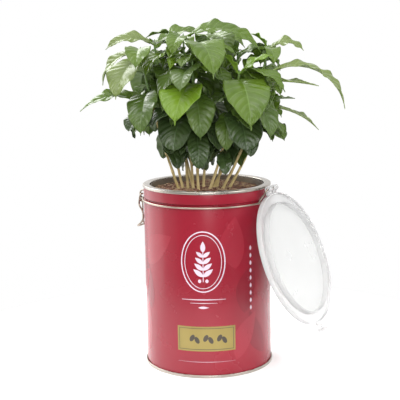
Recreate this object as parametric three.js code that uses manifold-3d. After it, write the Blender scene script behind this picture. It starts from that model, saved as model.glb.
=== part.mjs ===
// A potted coffee plant: twelve seedlings growing in a clip-top tin whose clear lid hangs open.
// Millimetres, +Z up. The origin is on the tin's axis, on its flat underside.
import * as THREE from 'three';
import { mergeVertices } from 'three/addons/utils/BufferGeometryUtils.js';
import Module from 'manifold-3d';

const wasm = await Module();
wasm.setup();

// Driving dimensions of the tin and its fittings
const gap = 0.3;
const facets = 48;
const tin = { radius: 61.5, wall: 0.9, floor: 1.2, height: 175.3 };
const rim = { outer: 62.4, inner: 55.5, top: 177.5, lipDepth: 2.4, thickness: 1.9, round: 0.8 };
const foot = { width: 1.2, height: 2.8 };
const liner = { topRadius: 54.9, footRadius: 50, wall: 1, floor: 1.2, top: 176.2 };
const soilTop = 170.8;
const wire = { radius: 0.85, sides: 6, ringHeight: 162.6 };
const hinge = { azimuth: -28, reach: 69, height: 175.5, halfSpan: 12.5, openAngle: 248 };
const lid = {
  radius: 64.2, thickness: 2, panel: 1.6, lipWall: 1.3, lipDepth: 3, lift: 2.3,
  skirtOuter: 54.8, skirtWall: 1.4, skirtDepth: 5.3, edge: 0.8,
};
const knuckle = { radius: 2.8, bore: 1.2, near: 2.5, far: 10, web: 1.8, sides: 16 };
const catchTab = { halfWidth: 5, length: 9, thickness: 2.4, drop: 0.6, hookDepth: 5 };
const latch = {
  azimuth: 152, eyeReach: 66.3, height: 163.5, eyeRadius: 4, eyeSide: 9.6,
  pivotReach: 68.2, pivotEnd: 8.2, armSide: 12.6, wire: 0.9, barReach: 69.7, barHeight: 156.8,
};
const bail = { side: 6.3, drop: 23.5, wire: 0.75, eyeRadius: 2.1 };

// Driving dimensions of the plant
const stemHeight = 34;
const nodeSpacing = 19;
const leafThickness = 1.15;
const stalkThickness = 1.9;
const leafClearance = 3.4;
const stem = {
  foot: 1.55, tip: 0.95, taperHeight: 140, flare: 1, flareHeight: 3.5, budTip: 0.4, sides: 6, stepGrowth: 1.25,
};
const stemLead = 0.66;
const nodeShare = 0.22;
const crown = {
  lowest: 189, skirtStart: 40, skirtSlope: 2, skirtMost: 29, left: -75, right: 74, front: -72, back: 116,
};
const blade = {
  petiole: 0.1, stalkWidth: 0.05, end: 0.93, fullness: 0.85, fold: 12, wave: 1.6, waves: 2, skew: 0.2,
};
const spread = { start: 0.2, rise: 14, fall: 20, length: 0.2, roll: 30, slim: 0.42, slimRange: 0.08, turn: 20 };
const levels = 6;
const seed = 26;

const degrees = angle => angle * Math.PI / 180;

// Solids: a three.js shape is merged, joined and cut as one closed body
function asSolid(geometry) {
  const bare = geometry.clone();
  bare.deleteAttribute('normal');
  bare.deleteAttribute('uv');
  const merged = mergeVertices(bare, 1e-4);
  const vertProperties = new Float32Array(merged.getAttribute('position').array);
  const triVerts = new Uint32Array(merged.index.array);
  return new wasm.Manifold(new wasm.Mesh({ numProp: 3, vertProperties, triVerts }));
}

function asGeometry(solid) {
  const mesh = solid.getMesh();
  const geometry = new THREE.BufferGeometry();
  geometry.setAttribute('position', new THREE.BufferAttribute(new Float32Array(mesh.vertProperties), 3));
  geometry.setIndex(new THREE.BufferAttribute(new Uint32Array(mesh.triVerts), 1));
  return geometry;
}

function join(...geometries) {
  return asGeometry(geometries.map(asSolid).reduce((whole, piece) => whole.add(piece)));
}

function cut(geometry, ...tools) {
  return asGeometry(tools.map(asSolid).reduce((rest, tool) => rest.subtract(tool), asSolid(geometry)));
}

// A ring or cup turned about Z from its profile of [radius, height], outer side first and upwards
function turned(profile, segments = facets) {
  const points = profile.map(([radius, height]) => new THREE.Vector2(radius, height));
  if (profile[0][0] > 0) points.push(points[0].clone());
  return new THREE.LatheGeometry(points, segments).rotateX(Math.PI / 2);
}

function roundSection(radius, sides = wire.sides) {
  const shape = new THREE.Shape();
  for (let side = 0; side < sides; side += 1) {
    const angle = 2 * Math.PI * side / sides;
    const [x, y] = [radius * Math.cos(angle), radius * Math.sin(angle)];
    if (side === 0) shape.moveTo(x, y);
    else shape.lineTo(x, y);
  }
  shape.closePath();
  return shape;
}

// A bent wire through its [x, y, z] points
function bentWire(points, radius, steps) {
  const places = points.map(point => new THREE.Vector3(...point));
  const extrudePath = new THREE.CatmullRomCurve3(places, false, 'centripetal');
  return new THREE.ExtrudeGeometry(roundSection(radius), { steps, bevelEnabled: false, extrudePath });
}

// A straight bar along Y
function bar(radius, from, to, x, z, sides = 12) {
  return new THREE.CylinderGeometry(radius, radius, to - from, sides).translate(x, (from + to) / 2, z);
}

// The tin, its rims and the pot inside it
function tinBody() {
  const inner = tin.radius - tin.wall;
  return turned([[0, 0], [tin.radius, 0], [tin.radius, tin.height], [inner, tin.height], [inner, tin.floor],
    [0, tin.floor]]);
}

function rimRing() {
  const under = rim.top - rim.thickness;
  return turned([
    [rim.outer, rim.top - rim.lipDepth], [rim.outer, rim.top - rim.round], [rim.outer - rim.round, rim.top],
    [rim.inner + rim.round, rim.top], [rim.inner, rim.top - rim.round], [rim.inner, under],
    [tin.radius + gap, under], [tin.radius + gap, rim.top - rim.lipDepth],
  ]);
}

function footRing() {
  const inner = tin.radius + gap;
  const outer = inner + foot.width;
  return turned([[outer, 0], [outer, foot.height - foot.width / 2], [outer - foot.width / 2, foot.height],
    [inner, foot.height], [inner, 0]]);
}

function linerRadius(height) {
  const base = tin.floor + gap;
  return liner.footRadius + (liner.topRadius - liner.footRadius) * (height - base) / (liner.top - base);
}

function growerPot() {
  const base = tin.floor + gap;
  const inside = base + liner.floor;
  return turned([[0, base], [liner.footRadius, base], [liner.topRadius, liner.top],
    [liner.topRadius - liner.wall, liner.top], [linerRadius(inside) - liner.wall, inside], [0, inside]]);
}

function soilBall() {
  const base = tin.floor + gap + liner.floor + gap;
  const inset = liner.wall + gap;
  return turned([
    [0, base], [linerRadius(base) - inset, base], [linerRadius(soilTop) - inset, soilTop], [0, soilTop],
  ]);
}

// The wire round the neck, with the two eyes of the latch and the loop that carries the hinge pin
function neckWire() {
  const ringRadius = tin.radius + gap + wire.radius;
  const ring = new THREE.TorusGeometry(ringRadius, wire.radius, wire.sides, facets)
    .translate(0, 0, wire.ringHeight);
  const eyes = [-1, 1].map(side => new THREE.TorusGeometry(latch.eyeRadius, wire.radius, wire.sides, 12)
    .rotateX(Math.PI / 2)
    .translate(latch.eyeReach, side * latch.eyeSide, latch.height)
    .rotateZ(degrees(latch.azimuth)));
  const ringAtArm = Math.sqrt(ringRadius ** 2 - hinge.halfSpan ** 2);
  const arm = side => [
    [ringAtArm, side * hinge.halfSpan, wire.ringHeight],
    [ringAtArm + 1.2, side * hinge.halfSpan, wire.ringHeight + 3],
    [hinge.reach - 1.5, side * hinge.halfSpan, hinge.height - 3.5],
    [hinge.reach - 0.1, side * (hinge.halfSpan - 0.3), hinge.height - 1],
    [hinge.reach, side * (hinge.halfSpan - 1.2), hinge.height - 0.1],
    [hinge.reach, side * (hinge.halfSpan - 2.2), hinge.height],
    [hinge.reach, side * (hinge.halfSpan - 4), hinge.height],
  ];
  const loop = bentWire([...arm(-1), ...arm(1).reverse()], wire.radius, 22).rotateZ(degrees(hinge.azimuth));
  return join(ring, ...eyes, loop);
}

// The lid in its own frame: X from the hinge pin to the catch, Y along the pin, Z to its outer face
function clearLid() {
  const top = lid.lift + lid.thickness;
  const skirtInner = lid.skirtOuter - lid.skirtWall;
  const skirtEnd = lid.lift - lid.skirtDepth;
  const lipInner = lid.radius - lid.lipWall;
  const lipEnd = lid.lift - lid.lipDepth;
  const disc = turned([
    [0, lid.lift], [skirtInner, lid.lift], [skirtInner, skirtEnd], [lid.skirtOuter, skirtEnd],
    [lid.skirtOuter, lid.lift], [lipInner, lid.lift], [lipInner, lipEnd], [lid.radius, lipEnd],
    [lid.radius, top - lid.edge], [lid.radius - lid.edge, top], [lid.skirtOuter + lid.edge, top],
    [lid.skirtOuter, lid.lift + lid.panel], [0, lid.lift + lid.panel],
  ]).translate(hinge.reach, 0, 0);
  const toEdge = hinge.reach - lid.radius + lid.lipWall / 2;
  const lugs = [-1, 1].flatMap(side => {
    const middle = side * (knuckle.near + knuckle.far) / 2;
    const width = knuckle.far - knuckle.near;
    return [
      bar(knuckle.radius, middle - width / 2, middle + width / 2, 0, 0, knuckle.sides),
      new THREE.BoxGeometry(toEdge, width, knuckle.web)
        .translate(toEdge / 2, middle, knuckle.radius - knuckle.web / 2),
    ];
  });
  const edge = hinge.reach + lid.radius;
  const tab = new THREE.BoxGeometry(catchTab.length + 1, 2 * catchTab.halfWidth, catchTab.thickness)
    .translate(edge + (catchTab.length - 1) / 2, 0, lid.lift + catchTab.thickness / 2 - catchTab.drop);
  const hook = new THREE.BoxGeometry(catchTab.thickness, 2 * catchTab.halfWidth, catchTab.hookDepth)
    .translate(edge + catchTab.length - catchTab.thickness / 2, 0,
      lid.lift - catchTab.hookDepth / 2 + catchTab.drop);
  const bore = bar(knuckle.bore, -knuckle.far - 1, knuckle.far + 1, 0, 0, knuckle.sides);
  return cut(join(disc, ...lugs, tab, hook), bore);
}

// The latch in the frame of its azimuth: X outwards, Y along its pivot, Z up.
// The lever's wire runs from its pivot down past the bail's bar, in to the tin and out to the thumb.
function latchLever() {
  const { pivotReach: reach, height, armSide: side } = latch;
  const arm = sign => [
    [reach, sign * latch.pivotEnd, height], [reach, sign * (side - 1.2), height], [reach + 0.2, sign * side, height - 1.3],
    [latch.barReach, sign * side, latch.barHeight], [70, sign * side, 153], [66.4, sign * side, 146.5],
    [65.6, sign * side, 140], [67.6, sign * side, 135.5], [72.2, sign * (side - 0.5), 131.4],
    [73, sign * (side - 2.5), 130.8],
  ];
  const frame = bentWire([...arm(-1), ...arm(1).reverse()], latch.wire, 38);
  const crossbar = bar(latch.wire, -side, side, latch.barReach, latch.barHeight, 8);
  return join(frame, crossbar);
}

function latchBail() {
  const { side, drop } = bail;
  const { barReach: x, barHeight: z } = latch;
  const leg = sign => [
    [x, sign * side, z - bail.eyeRadius + 0.2], [x, sign * side, z - drop / 2], [x, sign * side, z - drop + 2],
    [x, sign * (side - 0.6), z - drop + 0.6], [x, sign * (side - 2), z - drop],
  ];
  const loop = bentWire([...leg(-1), ...leg(1).reverse()], bail.wire, 18);
  const eyes = [-1, 1].map(sign => new THREE.TorusGeometry(bail.eyeRadius, bail.wire, wire.sides, 10)
    .rotateX(Math.PI / 2)
    .translate(x, sign * side, z));
  return join(loop, ...eyes);
}

// The plant's rule. Each seedling is a stem from its foot to the node of its top pair of leaves.
// foot: x, y on the soil. top: x, y, z of the top node. turn: azimuth of the top pair, in degrees.
// pairs: how many pairs of leaves it carries. leaf: the length of a full-grown leaf. bud: bud height.
const seedlings = [
  { foot: [-27, -3], top: [-61, -4, 303], turn: 60, pairs: 6, leaf: 74, bud: 6 },
  { foot: [-23, 3], top: [-48, 12, 310], turn: 0, pairs: 6, leaf: 74, bud: 6 },
  { foot: [-18, 0], top: [-25, 4, 299], turn: 50, pairs: 6, leaf: 74, bud: 4 },
  { foot: [-13, -2], top: [-20, -8, 316], turn: 90, pairs: 6, leaf: 74, bud: 5 },
  { foot: [-8, -10], top: [-12, -20, 305], turn: 110, pairs: 6, leaf: 74, bud: 4 },
  { foot: [-3, 7], top: [4, 36, 316], turn: 60, pairs: 6, leaf: 80, bud: 6 },
  { foot: [3, -6], top: [32, -18, 282], turn: 80, pairs: 5, leaf: 74, bud: 4 },
  { foot: [6, 3], top: [62, 12, 304], turn: 80, pairs: 6, leaf: 74, bud: 5 },
  { foot: [15, -7], top: [60, -16, 283], turn: 75, pairs: 5, leaf: 74, bud: 4 },
  { foot: [22, 1], top: [60, 4, 257], turn: 60, pairs: 4, leaf: 66, bud: 4 },
  { foot: [10, 9], top: [34, 50, 300], turn: 20, pairs: 6, leaf: 80, bud: 6 },
  { foot: [-13, 11], top: [-38, 52, 296], turn: 100, pairs: 6, leaf: 80, bud: 6 },
];

// Leaves that stand out in the outline, each on its seedling, counted from 1.
// below: how far under the top node. turn, rise, fall: azimuth, and the slope at its foot and tip.
const chosenLeaves = [
  { on: 1, below: 0, turn: 172, rise: 8, fall: -85, length: 54, width: 18, roll: -25 },
  { on: 1, below: 5, turn: 238, rise: -5, fall: -75, length: 60, width: 33 },
  { on: 1, below: 50, turn: 186, rise: 36, fall: -42, length: 75, width: 20, roll: -20 },
  { on: 1, below: 54, turn: 222, rise: 0, fall: -60, length: 38, width: 25 },
  { on: 2, below: 0, turn: 184, rise: 38, fall: -46, length: 52, width: 17, roll: -30 },
  { on: 2, below: 0, turn: 10, rise: 44, fall: -14, length: 50, width: 19, roll: 25 },
  { on: 4, below: 15, turn: 238, rise: 0, fall: -55, length: 30, width: 14 },
  { on: 4, below: 15, turn: 340, rise: 0, fall: -60, length: 23, width: 10 },
  { on: 4, below: 0, turn: -2, rise: 36, fall: -58, length: 84, width: 20, roll: 30 },
  { on: 4, below: 0, turn: 172, rise: 35, fall: -30, length: 38, width: 16 },
  { on: 5, below: 0, turn: 290, rise: 36, fall: -84, length: 74, width: 36 },
  { on: 5, below: 31, turn: 250, rise: 4, fall: -74, length: 66, width: 40 },
  { on: 7, below: 6, turn: 279, rise: 10, fall: -82, length: 80, width: 43 },
  { on: 7, below: 0, turn: -8, rise: 50, fall: 10, length: 36, width: 16, roll: 20 },
  { on: 7, below: 0, turn: 168, rise: 62, fall: 40, length: 28, width: 12, roll: 30 },
  { on: 8, below: 0, turn: -6, rise: 46, fall: -50, length: 38, width: 18, roll: 20 },
  { on: 8, below: 0, turn: 150, rise: 65, fall: 15, length: 25, width: 17, roll: 20 },
  { on: 9, below: 0, turn: -3, rise: 30, fall: -82, length: 94, width: 26, roll: 10 },
  { on: 9, below: 7, turn: -16, rise: 0, fall: -12, length: 50, width: 17 },
  { on: 10, below: 0, turn: 12, rise: 5, fall: -5, length: 28, width: 13 },
  { on: 10, below: 7, turn: -6, rise: 0, fall: -48, length: 58, width: 17 },
  { on: 10, below: 22, turn: 310, rise: -5, fall: -45, length: 38, width: 26 },
  { on: 4, below: 68, turn: 248, rise: -5, fall: -85, length: 54, width: 36 },
  { on: 5, below: 66, turn: 322, rise: -5, fall: -80, length: 42, width: 28 },
  { on: 7, below: 34, turn: 290, rise: -5, fall: -85, length: 54, width: 36 },
  { on: 5, below: 50, turn: 208, rise: 5, fall: -50, length: 50, width: 28 },
  { on: 9, below: 46, turn: 258, rise: -8, fall: -80, length: 34, width: 24 },
];

// How a pair grows at each level, from the top node down: young ones stand up, old ones hang
const habits = [
  { rise: 25, fall: -72, length: 0.72 },
  { rise: 12, fall: -80, length: 0.98 },
  { rise: 0, fall: -84, length: 1 },
  { rise: -5, fall: -85, length: 0.9 },
  { rise: -15, fall: -85, length: 0.75 },
];
// What a leaf tries in turn where its first place is taken
const trials = [1, 0.9, 0.78, 0.64].flatMap(size => [0, 18, -18, 38, -38, 58, -58].map(turn => (
  { size, turn, fall: Math.abs(turn) / 3 * (turn > 0 ? 1 : -1) })));

const leafSteps = 5;
const sampleSteps = 16;
const sampleSides = [-1, -0.67, -0.33, 0, 0.33, 0.67, 1];
const sampleStart = 0.16;
const stemSampling = 0.03;
const spineSteps = 40;

// The half width of a leaf along its length, for a half width of 1: a stalk, a lens and a drip tip
function leafOutline(along) {
  const onBlade = (along - blade.petiole) / (1 - blade.petiole);
  if (onBlade <= 0) return blade.stalkWidth;
  const lens = Math.sin(Math.PI * Math.min(1, onBlade / blade.end)) ** blade.fullness;
  return blade.stalkWidth + (1 - blade.stalkWidth) * lens;
}

// Gives the place on a leaf that is along it (0 to 1), across it (-1 to 1) and off its surface (mm)
function leafSurface(leaf) {
  const slopeAt = along => degrees(leaf.rise + (leaf.fall - leaf.rise) * along);
  const heading = degrees(leaf.turn);
  const roll = degrees(leaf.roll);
  const ahead = new THREE.Vector3(Math.cos(heading), Math.sin(heading), 0);
  const flat = new THREE.Vector3(-Math.sin(heading), Math.cos(heading), 0);
  const spine = [leaf.start.clone()];
  const stride = leaf.length / spineSteps;
  for (let step = 0; step < spineSteps; step += 1) {
    const slope = slopeAt((step + 0.5) / spineSteps);
    const next = spine[step].clone().addScaledVector(ahead, stride * Math.cos(slope));
    next.z += stride * Math.sin(slope);
    spine.push(next);
  }
  return (along, across, off) => {
    const place = Math.min(spineSteps - 1, Math.floor(along * spineSteps));
    const middle = spine[place].clone().lerp(spine[place + 1], along * spineSteps - place);
    const slope = slopeAt(along);
    const up = ahead.clone().multiplyScalar(-Math.sin(slope));
    up.z = Math.cos(slope);
    const side = flat.clone().multiplyScalar(Math.cos(roll)).addScaledVector(up, Math.sin(roll));
    const normal = up.multiplyScalar(Math.cos(roll)).addScaledVector(flat, -Math.sin(roll));
    const outline = leafOutline(along);
    const share = Math.abs(across);
    const ripple = Math.sin(2 * Math.PI * (leaf.waves * along + leaf.phase + blade.skew * Math.sign(across)));
    const lift = leaf.width / 2 * outline * share * Math.tan(degrees(blade.fold))
      + blade.wave * ripple * share * share * outline;
    return middle.addScaledVector(side, leaf.width / 2 * outline * across).addScaledVector(normal, lift + off);
  };
}

// A leaf as a bent slab, thicker along its stalk. The slab's X runs against the leaf's side.
function leafSolid(leaf) {
  const surface = leafSurface(leaf);
  const slab = new THREE.BoxGeometry(2, 1, 1, 2, leafSteps, 1);
  const position = slab.getAttribute('position');
  for (let index = 0; index < position.count; index += 1) {
    const row = Math.round((position.getY(index) + 0.5) * leafSteps);
    const along = row === 0 ? 0 : blade.petiole + (1 - blade.petiole) * (row - 1) / (leafSteps - 1);
    const thickness = row < 2 ? stalkThickness : leafThickness;
    const point = surface(along, -position.getX(index), position.getZ(index) * thickness);
    position.setXYZ(index, point.x, point.y, point.z);
  }
  return slab;
}

function leafSamples(leaf) {
  const surface = leafSurface(leaf);
  const samples = [];
  for (let step = 0; step <= sampleSteps; step += 1) {
    const along = sampleStart + (1 - sampleStart) * step / sampleSteps;
    for (const across of sampleSides) samples.push({ place: surface(along, across, 0), on: leaf.on, along });
  }
  return samples;
}

// Each seedling's stem curves out from its foot and then straightens
function stemPath(seedling) {
  const [footX, footY] = seedling.foot;
  const [topX, topY, topZ] = seedling.top;
  const base = soilTop + gap;
  const knee = new THREE.Vector3(footX + stemLead * (topX - footX), footY + stemLead * (topY - footY),
    (base + topZ) / 2);
  return new THREE.QuadraticBezierCurve3(new THREE.Vector3(footX, footY, base), knee,
    new THREE.Vector3(topX, topY, topZ));
}

// The share of the way along a stem at which it reaches a height
function shareAtHeight(path, height) {
  let [low, high] = [0, 1];
  for (let halving = 0; halving < 30; halving += 1) {
    const middle = (low + high) / 2;
    if (path.getPoint(middle).z < height) low = middle;
    else high = middle;
  }
  return (low + high) / 2;
}

function stemRadius(height) {
  const above = height - soilTop - gap;
  const taper = (stem.foot - stem.tip) * Math.max(0, 1 - above / stem.taperHeight);
  return stem.tip + taper + stem.flare * Math.exp(-above / stem.flareHeight);
}

// A limb from one height to another on its path, with level ends
function limb(path, from, to, steps, bud = 0) {
  const rows = steps + (bud ? 1 : 0);
  const tube = new THREE.CylinderGeometry(1, 1, 1, stem.sides, rows);
  const position = tube.getAttribute('position');
  const [first, last] = [shareAtHeight(path, from), shareAtHeight(path, to)];
  for (let index = 0; index < position.count; index += 1) {
    const row = Math.round((position.getY(index) + 0.5) * rows);
    const onBud = row > steps;
    const middle = path.getPoint(first + (last - first) * Math.min(1, (row / steps) ** stem.stepGrowth));
    if (onBud) middle.z += bud;
    const radius = onBud ? stem.budTip : stemRadius(middle.z);
    const sideways = Math.hypot(position.getX(index), position.getZ(index)) > 0.5 ? radius : 0;
    position.setXYZ(index, middle.x + sideways * position.getX(index), middle.y - sideways * position.getZ(index),
      middle.z);
  }
  return tube;
}

// Whole numbers drawn by a seeded rule, as shares from 0 to 1
function seededShares(start) {
  let state = start;
  return () => {
    state = state * 16807 % 2147483647;
    return state / 2147483647;
  };
}

// The crown is rounded below: its lower side rises outwards
function insideCrown({ place }) {
  const outwards = Math.max(0, Math.hypot(place.x, place.y) - crown.skirtStart);
  return place.z >= crown.lowest + Math.min(crown.skirtMost, crown.skirtSlope * outwards)
    && place.x >= crown.left && place.x <= crown.right && place.y >= crown.front && place.y <= crown.back;
}

// A leaf is placed where it keeps clear of the leaves and stems already there, or else it is skipped
function keepsClear(samples, placed) {
  return samples.every(({ place, on, along }) => placed.every(other => (
    (other.on === on && Math.min(along, other.along) < nodeShare)
    || place.distanceToSquared(other.place) >= leafClearance ** 2)));
}

function growLeaves() {
  const paths = seedlings.map(stemPath);
  const placed = [];
  const leaves = [];
  paths.forEach((path, index) => {
    for (let way = 0; way <= 1; way += stemSampling) {
      placed.push({ place: path.getPoint(way), on: index + 1, along: 1 });
    }
  });
  const tryLeaf = leaf => {
    const samples = leafSamples(leaf);
    if (!leaf.chosen && !samples.every(insideCrown)) return false;
    if (!keepsClear(samples, placed)) return false;
    placed.push(...samples);
    leaves.push(leaf);
    return true;
  };
  const startOf = (on, below) => {
    const path = paths[on - 1];
    return path.getPoint(shareAtHeight(path, seedlings[on - 1].top[2] - below));
  };
  const draw = seededShares(seed);
  const around = range => range * (draw() - 0.5);
  const ripples = () => ({ waves: blade.waves + draw(), phase: draw() });
  for (const chosen of chosenLeaves) {
    tryLeaf({ roll: 0, ...ripples(), ...chosen, start: startOf(chosen.on, chosen.below), chosen: true });
  }
  for (let level = 0; level < levels; level += 1) {
    seedlings.forEach((seedling, index) => {
      if (level >= seedling.pairs) return;
      const habit = habits[Math.min(level, habits.length - 1)];
      for (const opposite of [0, 180]) {
        const leaf = {
          on: index + 1,
          start: startOf(index + 1, level * nodeSpacing * (1 + around(spread.start))),
          rise: habit.rise + around(spread.rise),
          fall: habit.fall + around(spread.fall),
          length: seedling.leaf * habit.length * (1 + around(spread.length)),
          roll: around(spread.roll),
          ...ripples(),
        };
        leaf.width = leaf.length * (spread.slim + spread.slimRange * draw());
        const turn = seedling.turn + 90 * level + opposite + around(spread.turn);
        trials.some(trial => tryLeaf({
          ...leaf, turn: turn + trial.turn, fall: leaf.fall + trial.fall, length: leaf.length * trial.size,
          width: leaf.width * trial.size,
        }));
      }
    });
  }
  return { paths, leaves };
}

// The object, as a tree of groups
const finishes = {
  enamel: { color: 0xa8243f, roughness: 0.3, metalness: 0.2 },
  steel: { color: 0xc9c7c2, roughness: 0.3, metalness: 0.9 },
  latchWire: { color: 0xb3a48a, roughness: 0.35, metalness: 0.9 },
  clear: { color: 0xe9ecec, roughness: 0.15, metalness: 0 },
  darkPlastic: { color: 0x4a4744, roughness: 0.7, metalness: 0 },
  soil: { color: 0x5b3a2a, roughness: 1, metalness: 0 },
  stem: { color: 0xa9925a, roughness: 0.8, metalness: 0 },
  leaf: { color: 0x4f7a2a, roughness: 0.4, metalness: 0 },
};
const materials = Object.fromEntries(Object.entries(finishes).map(([name, finish]) => (
  [name, new THREE.MeshStandardMaterial(finish)])));

function piece(name, geometry, material) {
  const mesh = new THREE.Mesh(geometry, materials[material]);
  mesh.name = name;
  return mesh;
}

function twoDigits(number) {
  return String(number).padStart(2, '0');
}

const plant = new THREE.Group();
plant.add(
  piece('tin_body', tinBody(), 'enamel'),
  piece('rim_ring', rimRing(), 'steel'),
  piece('foot_ring', footRing(), 'steel'),
  piece('neck_wire', neckWire(), 'latchWire'),
  piece('grower_pot', growerPot(), 'darkPlastic'),
  piece('soil', soilBall(), 'soil'),
);

const hingeGroup = new THREE.Group();
const hingeWay = degrees(hinge.azimuth);
hingeGroup.rotation.z = hingeWay + Math.PI;
hingeGroup.position.set(hinge.reach * Math.cos(hingeWay), hinge.reach * Math.sin(hingeWay), hinge.height);
const openLid = piece('lid', clearLid(), 'clear');
openLid.rotation.y = degrees(-hinge.openAngle);
hingeGroup.add(openLid);

const latchGroup = new THREE.Group();
latchGroup.rotation.z = degrees(latch.azimuth);
latchGroup.add(piece('latch_lever', latchLever(), 'latchWire'), piece('latch_bail', latchBail(), 'latchWire'));
plant.add(hingeGroup, latchGroup);

const { paths, leaves } = growLeaves();
seedlings.forEach((seedling, index) => {
  const path = paths[index];
  const stemEnd = soilTop + gap + stemHeight;
  const number = twoDigits(index + 1);
  plant.add(piece(`stem_${number}`, limb(path, soilTop + gap, stemEnd, 4), 'stem'));
  const shoot = limb(path, stemEnd + gap, seedling.top[2], 5, seedling.bud);
  const blades = leaves.filter(leaf => leaf.on === index + 1).map(leafSolid);
  plant.add(piece(`foliage_${number}`, join(shoot, ...blades), 'leaf'));
});

export default plant;
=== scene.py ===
import math
from math import radians
import bpy
import numpy as np
from mathutils import Matrix, Vector, noise


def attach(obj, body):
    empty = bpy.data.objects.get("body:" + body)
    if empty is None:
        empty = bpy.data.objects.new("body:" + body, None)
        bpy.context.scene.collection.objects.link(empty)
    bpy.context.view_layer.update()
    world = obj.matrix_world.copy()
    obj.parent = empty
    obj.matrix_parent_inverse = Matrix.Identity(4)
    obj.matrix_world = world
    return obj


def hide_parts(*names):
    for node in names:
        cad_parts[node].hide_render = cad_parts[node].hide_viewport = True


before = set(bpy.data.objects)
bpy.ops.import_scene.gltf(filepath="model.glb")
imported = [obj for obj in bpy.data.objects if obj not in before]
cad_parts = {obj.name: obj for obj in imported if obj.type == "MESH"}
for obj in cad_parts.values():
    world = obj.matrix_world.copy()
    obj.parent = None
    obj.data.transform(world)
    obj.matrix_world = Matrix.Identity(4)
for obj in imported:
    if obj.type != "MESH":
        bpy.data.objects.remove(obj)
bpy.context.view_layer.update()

mm = 0.001
noGap = 0.002 * mm      # vertices nearer than this are one
plainWhite = (1.0, 1.0, 1.0)


# Camera, floor and light

cameraSetup = {"x": -6.76, "distance": 948.6, "height": 320.3, "tiltDown": 9.59, "roll": -0.974,
               "focalPixels": 983.65, "picturePixels": 400, "sensor": 36}
floorSetup = {"radius": 0.3, "sides": 96, "colour": (0.97, 0.975, 0.975), "roughness": 0.6}
# The studio's brightness: white round the sides and back, dim behind the camera up to a height
studio = {"side": 1.0, "front": 0.42, "seen": 1.0, "frontEdges": (-0.3, -0.7), "frontHeights": (0.45, 0.9)}
lightSetup = [
    {"name": "keyLight", "place": (-0.5, -0.8, 1.15), "size": 0.6, "watts": 5, "colour": (1.0, 0.985, 0.96)},
    {"name": "sideLight", "place": (-1.1, 0.45, -0.05), "size": 1.2, "watts": 4.4, "colour": plainWhite},
    {"name": "frontLight", "place": (0.05, -1.15, 0.42), "size": 0.5, "watts": 5.2, "colour": plainWhite},
    {"name": "rightLight", "place": (1.05, -0.75, 0.6), "size": 0.7, "watts": 6.5, "colour": plainWhite},
    {"name": "sheenLight", "place": (-0.75, 0.85, 1.05), "size": 1.2, "watts": 22, "colour": plainWhite},
]
topLight = {"strength": 1.2, "angle": 60, "lean": 14}
lightAim = (0, 0, 0.2)      # what the area lights point at


def makeCamera():
    tilt = radians(cameraSetup["tiltDown"])
    roll = radians(cameraSetup["roll"])
    right = Vector((1, 0, 0))
    up = Vector((0, math.sin(tilt), math.cos(tilt)))
    back = Vector((0, -math.cos(tilt), math.sin(tilt)))
    rightRolled = right * math.cos(roll) + up * math.sin(roll)
    upRolled = up * math.cos(roll) - right * math.sin(roll)
    turn = Matrix((rightRolled, upRolled, back)).transposed().to_4x4()
    place = Vector((cameraSetup["x"], -cameraSetup["distance"], cameraSetup["height"])) * mm
    bpy.ops.object.camera_add()
    camera = bpy.context.object
    camera.matrix_world = Matrix.Translation(place) @ turn
    camera.data.sensor_width = cameraSetup["sensor"]
    camera.data.lens = cameraSetup["focalPixels"] / cameraSetup["picturePixels"] * cameraSetup["sensor"]
    bpy.context.scene.camera = camera


def makeLights():
    aim = Vector(lightAim)
    for light in lightSetup:
        place = Vector(light["place"])
        bpy.ops.object.light_add(type="AREA", location=place)
        lamp = bpy.context.object
        lamp.name = light["name"]
        lamp.rotation_euler = (aim - place).to_track_quat("-Z", "Y").to_euler()
        lamp.data.shape = "DISK"
        lamp.data.size = light["size"]
        lamp.data.energy = light["watts"]
        lamp.data.color = light["colour"]
    bpy.ops.object.light_add(type="SUN", rotation=(radians(topLight["lean"]), 0, 0))
    bpy.context.object.name = "topLight"
    bpy.context.object.data.energy = topLight["strength"]
    bpy.context.object.data.angle = radians(topLight["angle"])


def makeWorld():
    world = bpy.data.worlds.new("studio")
    bpy.context.scene.world = world
    world.use_nodes = True
    nodes, links = world.node_tree.nodes, world.node_tree.links

    def rampOf(socket, edges):
        ramp = nodes.new("ShaderNodeMapRange")
        ramp.interpolation_type = "SMOOTHSTEP"
        ramp.inputs["From Min"].default_value, ramp.inputs["From Max"].default_value = edges
        links.new(socket, ramp.inputs["Value"])
        return ramp.outputs["Result"]

    way = nodes.new("ShaderNodeTexCoord")
    split = nodes.new("ShaderNodeSeparateXYZ")
    links.new(way.outputs["Generated"], split.inputs[0])
    inFront = rampOf(split.outputs["Y"], studio["frontEdges"])
    high = rampOf(split.outputs["Z"], studio["frontHeights"])
    low = nodes.new("ShaderNodeMath")
    low.operation = "SUBTRACT"
    low.inputs[0].default_value = 1
    links.new(high, low.inputs[1])
    dim = nodes.new("ShaderNodeMath")
    dim.operation = "MULTIPLY"
    links.new(inFront, dim.inputs[0])
    links.new(low.outputs[0], dim.inputs[1])
    light = nodes.new("ShaderNodeMix")
    links.new(dim.outputs[0], light.inputs["Factor"])
    light.inputs["A"].default_value = studio["side"]
    light.inputs["B"].default_value = studio["front"]
    path = nodes.new("ShaderNodeLightPath")
    seen = nodes.new("ShaderNodeMix")
    links.new(path.outputs["Is Camera Ray"], seen.inputs["Factor"])
    links.new(light.outputs["Result"], seen.inputs["A"])
    seen.inputs["B"].default_value = studio["seen"]
    links.new(seen.outputs["Result"], nodes["Background"].inputs["Strength"])
    nodes["Background"].inputs["Color"].default_value = (*plainWhite, 1)


# Shader effects that several materials share

effects = {"toneDetail": 3, "glossDetail": 4, "grainDetail": 2, "toneEdges": (0.35, 0.65)}

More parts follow.
